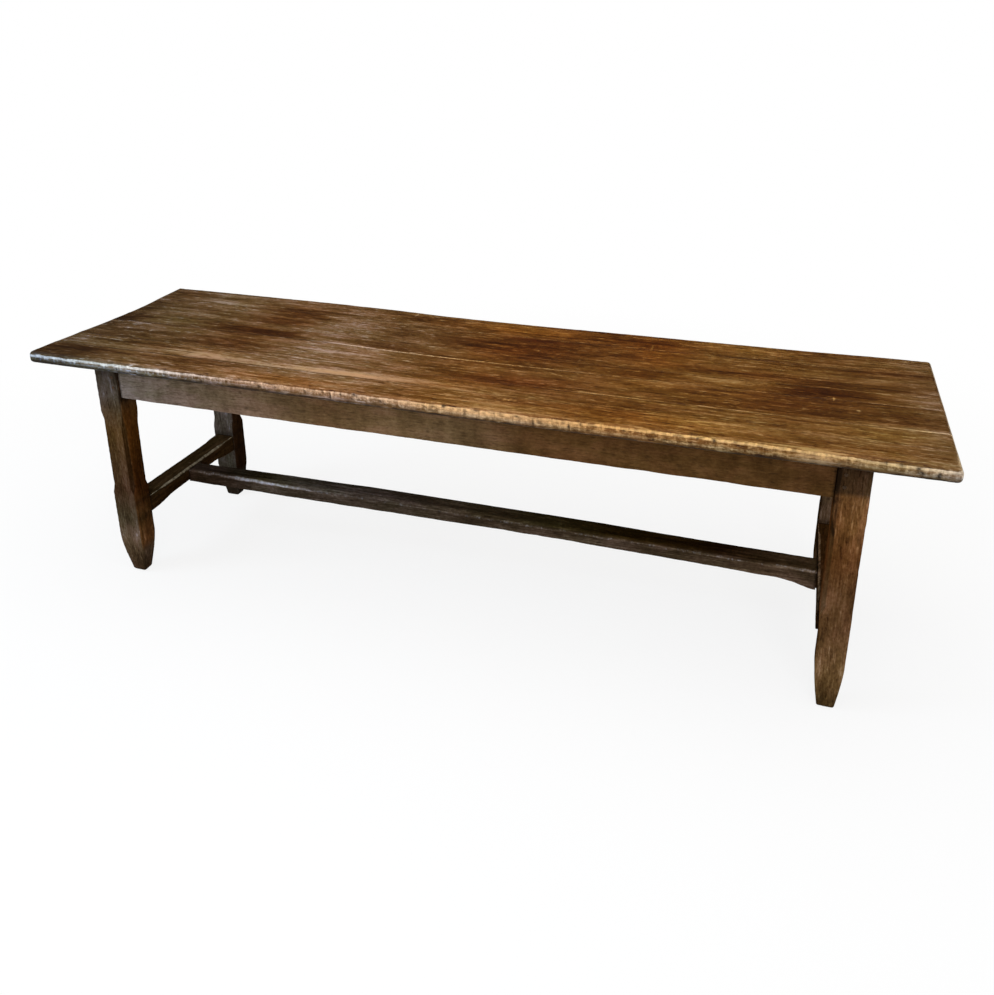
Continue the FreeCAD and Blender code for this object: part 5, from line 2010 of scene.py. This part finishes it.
# How much paler each plank is than the finish
PLANK_LIFTS = (0.05, 0.02, -0.01, -0.02, -0.02, -0.01)
# Along the centre stretcher: places in X with the share of its rear chamfer, then of its worn line with
# painted highlight
STRETCHER_REAR = ((-0.70, -0.47, -0.38, 0.40, 0.55, 0.80, 1.00), (1.0, 0.55, 0.15, 0.0, 0.4, 0.75, 0.8))
STRETCHER_LINE = (
    (-1.02, -0.90, -0.80, -0.62, -0.48, -0.20, 0.20, 0.45, 0.65, 0.76, 0.85, 1.00),
    (0.66, 0.82, 1.95, 0.98, 0.38, 0.24, 0.42, 0.30, 0.38, 0.50, 0.10, 0.68),
)
# Tones along the centre stretcher, from the left end, with painted highlight near X -0.7, and along its top,
# with painted sheen
STRETCHER_WASH = Wash(
    0,
    (-1.02, -0.87, -0.70, -0.50, -0.25, 0.00, 0.25, 0.50, 0.75, 1.00),
    (0.90, 0.86, 2.00, 1.06, 1.20, 1.45, 1.60, 1.50, 2.10, 3.50),
    (0.95, 1.00, 2.75, 1.36, 1.55, 1.85, 1.95, 1.80, 2.55, 4.10),
    (1.15, 1.28, 4.20, 1.85, 2.10, 2.40, 2.50, 2.30, 3.20, 5.20),
)
STRETCHER_TOP_WASH = Wash(
    0,
    (-1.02, -0.75, -0.50, -0.25, 0.00, 0.25, 0.50, 0.75, 1.00),
    (1.40, 0.68, 1.85, 1.66, 1.66, 0.92, 0.82, 0.38, 0.80),
    (1.60, 0.71, 2.15, 1.68, 1.74, 1.05, 0.70, 0.26, 0.78),
    (2.00, 0.42, 2.50, 2.00, 1.60, 0.62, 0.26, 0.15, 0.60),
)
# Tones along the front and back aprons, from the left end
APRON_WASH = Wash(
    0,
    (-1.02, -0.85, -0.60, -0.35, 0.05, 0.25, 0.35, 0.70, 1.02),
    (1.33, 1.33, 1.45, 1.30, 1.34, 0.86, 0.80, 0.82, 0.68),
    (1.88, 1.66, 1.60, 1.25, 1.36, 0.70, 0.63, 0.66, 0.53),
    (3.20, 2.50, 2.05, 1.20, 1.42, 0.53, 0.45, 0.46, 0.37),
)
# What sets each leg apart: its washes over the height, which carry painted light and shade besides its tone,
# the painted shade of its inner face and its own form
LEG_FORMS = {
    "front_left_leg": dict(
        washes=(Wash(
            2,
            (0.0, 0.05, 0.12, 0.20, 0.30, 0.40, 0.50, 0.56, 0.62, 0.72),
            (0.78, 1.02, 1.12, 0.60, 0.44, 0.53, 0.67, 0.66, 0.67, 0.62),
            (0.98, 1.38, 1.58, 0.92, 0.47, 0.60, 0.76, 0.86, 1.12, 1.08),
            (1.35, 2.20, 2.80, 1.50, 0.62, 0.70, 0.68, 1.12, 2.40, 2.50),
        ),),
        inner_painted_shade=(1.03, 0.67, 0.34),
    ),
    "front_right_leg": dict(
        washes=(Wash(
            2,
            (0.0, 0.05, 0.15, 0.25, 0.35, 0.45, 0.55, 0.624, 0.637, 0.72),
            (1.28, 1.30, 1.27, 0.99, 0.95, 0.96, 1.30, 1.24, 0.54, 0.43),
            (1.65, 1.55, 1.48, 1.05, 0.96, 0.81, 1.22, 1.22, 0.61, 0.47),
            (1.70, 1.70, 1.72, 1.24, 1.08, 0.72, 1.10, 1.17, 0.78, 0.64),
        ),),
        inner_painted_shade=(0.70, 0.60, 0.45),
        sole=(49 * MM, 36 * MM), sole_share=0.36, sole_round=12 * MM, inner_inset=7 * MM,
        joint_width=10 * MM, joint_shadow=0.4, band_shadow=0.95, chamfer_painted_shade=(0.64, 0.70, 0.66),
    ),
    "back_left_leg": dict(
        washes=(Wash(
            2, (0.0, 0.08, 0.14, 0.40, 0.72), (0.42, 0.46, 0.64, 1.40, 1.46), (0.66, 0.78, 1.15, 2.50, 2.20),
            (1.15, 1.35, 2.40, 6.20, 5.80),
        ),),
        inner_painted_shade=(0.31, 0.16, 0.08),
        sole_back_share=0.2, sole_round=10 * MM,
    ),
    "back_right_leg": dict(
        washes=(Wash(2, (0.0, 0.40, 0.72), (0.90, 1.48, 1.48), (0.95, 2.05, 2.05), (1.00, 3.50, 3.70)),),
        inner_painted_shade=(0.38, 0.28, 0.14),
    ),
}


def axis_turn(axis: int, degrees: float) -> np.ndarray:
    """Gives the matrix of a turn about one axis: cosines on the other two's diagonal, sines off it.

    Args:
        axis: 0 for X, 1 for Y, 2 for Z.
        degrees: The angle.

    Returns:
        The matrix.
    """
    angle = math.radians(degrees)
    matrix = np.eye(3)
    first, second = (axis + 1) % 3, (axis + 2) % 3
    matrix[first, first] = matrix[second, second] = math.cos(angle)
    matrix[second, first] = math.sin(angle)
    matrix[first, second] = -math.sin(angle)
    return matrix


@dataclass(frozen=True)
class Lamp:
    """A soft rectangular studio lamp."""

    name: str
    place: Triple
    aim: Triple
    size: Pair
    power: float
    shade: Colour = (255, 255, 255)


@dataclass
class Studio:
    """The plain pale floor, the soft lamps, the world and the camera."""

    lamps: tuple[Lamp, ...] = (
        Lamp("overhead_lamp", (0.2, -0.4, 3.6), (0.0, 0.0, 0.0), (5.0, 3.4), 82.0),
        Lamp("front_lamp", (2.2, -5.2, 3.0), (0.0, 0.0, 0.4), (3.0, 2.4), 150.0),
        Lamp("left_lamp", (-3.4, -1.9, 3.0), (-0.4, 0.0, 0.6), (1.4, 1.4), 60.0, (222, 236, 255)),
    )
    floor_half: float = 30.0
    floor_shade: Colour = (244, 244, 243)
    shadow_reach: Pair = (0.9, 3.2)
    shadow_glow: float = 0.84
    overhead_light: Pair = (0.03, 0.45)
    front_light: float = 0.25

    def build(self) -> None:
        """Sets up everything that isn't the object."""
        self.floor()
        for lamp in self.lamps:
            self.lamp(lamp)
        self.world()
        self.camera()
        bpy.context.scene.view_settings.view_transform = "Standard"

    def floor(self) -> None:
        """Lays the floor, whose colour is also the background."""
        half = self.floor_half
        mesh = bpy.data.meshes.new("floor")
        corners = [(-half, -half, 0.0), (half, -half, 0.0), (half, half, 0.0), (-half, half, 0.0)]
        mesh.from_pydata(corners, [], [(0, 1, 2, 3)])
        floor = bpy.data.objects.new("floor", mesh)
        bpy.context.scene.collection.objects.link(floor)
        material = bpy.data.materials.new("floor_paint")
        sheet = started(material)
        paint = sheet.node("ShaderNodeBsdfDiffuse", {"Color": linear(self.floor_shade)})
        glow = sheet.node("ShaderNodeEmission", {"Color": linear((255, 255, 255))})
        seen = sheet.node("ShaderNodeLightPath").outputs["Is Camera Ray"]
        reach = sheet.vector_math("LENGTH", sheet.coordinates())
        share = sheet.math("MULTIPLY", seen, sheet.span(reach, *self.shadow_reach, self.shadow_glow, 1.0))
        values = {0: share, 1: paint.outputs["BSDF"], 2: glow.outputs["Emission"]}
        sheet.close(sheet.node("ShaderNodeMixShader", values).outputs["Shader"])
        mesh.materials.append(material)

    @staticmethod
    def lamp(lamp: Lamp) -> None:
        """Hangs one lamp and turns it to its aim.

        Args:
            lamp: The lamp.
        """
        light = bpy.data.lights.new(lamp.name, "AREA")
        light.shape = "RECTANGLE"
        light.size, light.size_y = lamp.size
        light.energy = lamp.power
        light.color = linear(lamp.shade)[:3]
        holder = bpy.data.objects.new(lamp.name, light)
        holder.location = lamp.place
        toward = np.asarray(lamp.aim) - np.asarray(lamp.place)
        toward = toward / np.linalg.norm(toward)
        yaw = math.atan2(toward[0], -toward[1])
        tilt = math.acos(-toward[2])
        holder.rotation_euler = (tilt, 0.0, yaw + math.pi)
        bpy.context.scene.collection.objects.link(holder)

    def world(self) -> None:
        """Lights the room evenly, dim near the horizon and brighter overhead, with a white background."""
        world = bpy.data.worlds.new("studio")
        sheet = started(world)
        parts = sheet.node("ShaderNodeSeparateXYZ", {"Vector": sheet.coordinates("Generated")})
        level = sheet.span(parts.outputs["Z"], 0.35, 0.95, *self.overhead_light)
        level = sheet.math("ADD", level, sheet.span(parts.outputs["Y"], 0.0, -0.9, 0.0, self.front_light))
        seen = sheet.node("ShaderNodeLightPath").outputs["Is Camera Ray"]
        strength = sheet.math("MAXIMUM", level, seen)
        room = sheet.node("ShaderNodeBackground", {"Color": (1.0, 1.0, 1.0, 1.0), "Strength": strength})
        sheet.close(room.outputs["Background"], "ShaderNodeOutputWorld")
        bpy.context.scene.world = world

    @staticmethod
    def camera() -> None:
        """Places the camera where the photograph was taken from.

        Its axes are the columns of the turn by yaw about Z, pitch about X and roll about Y. The lens and
        the shifts follow from the focal length and the principal point, in pixels of the picture.
        """
        yaw, pitch, roll = CAMERA_TURN
        turn = axis_turn(2, yaw) @ axis_turn(0, pitch) @ axis_turn(1, roll)
        data = bpy.data.cameras.new("photo_camera")
        longest = max(PICTURE)
        data.lens = CAMERA_FOCAL * data.sensor_width / longest
        data.shift_x = (PICTURE[0] / 2 - CAMERA_CENTRE[0]) / longest
        data.shift_y = (CAMERA_CENTRE[1] - PICTURE[1] / 2) / longest
        data.clip_end = 200.0
        camera = bpy.data.objects.new("photo_camera", data)
        matrix = np.eye(4)
        matrix[:3, 0], matrix[:3, 1], matrix[:3, 2] = turn[:, 0], turn[:, 2], -turn[:, 1]
        matrix[:3, 3] = CAMERA_PLACE
        camera.matrix_world = [list(column) for column in matrix.T]
        bpy.context.scene.collection.objects.link(camera)
        bpy.context.scene.camera = camera


PICTURE = (994, 995)
CAMERA_PLACE = (0.8769, -2.4428, 1.7092)
CAMERA_TURN = (17.376, -19.883, -0.125)
CAMERA_FOCAL = 937.32
CAMERA_CENTRE = (510.23, 352.49)


def main() -> None:
    """Builds the table round its frame and the studio round the table."""
    logging.basicConfig(level=logging.INFO, format="%(message)s")
    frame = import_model()
    table = Table(GroupShelf(), frame["nodes"])
    table.top()
    table.legs()
    table.aprons()
    table.stretchers()
    table.hidden_parts()
    Studio().build()


if __name__ == "__main__":
    main()
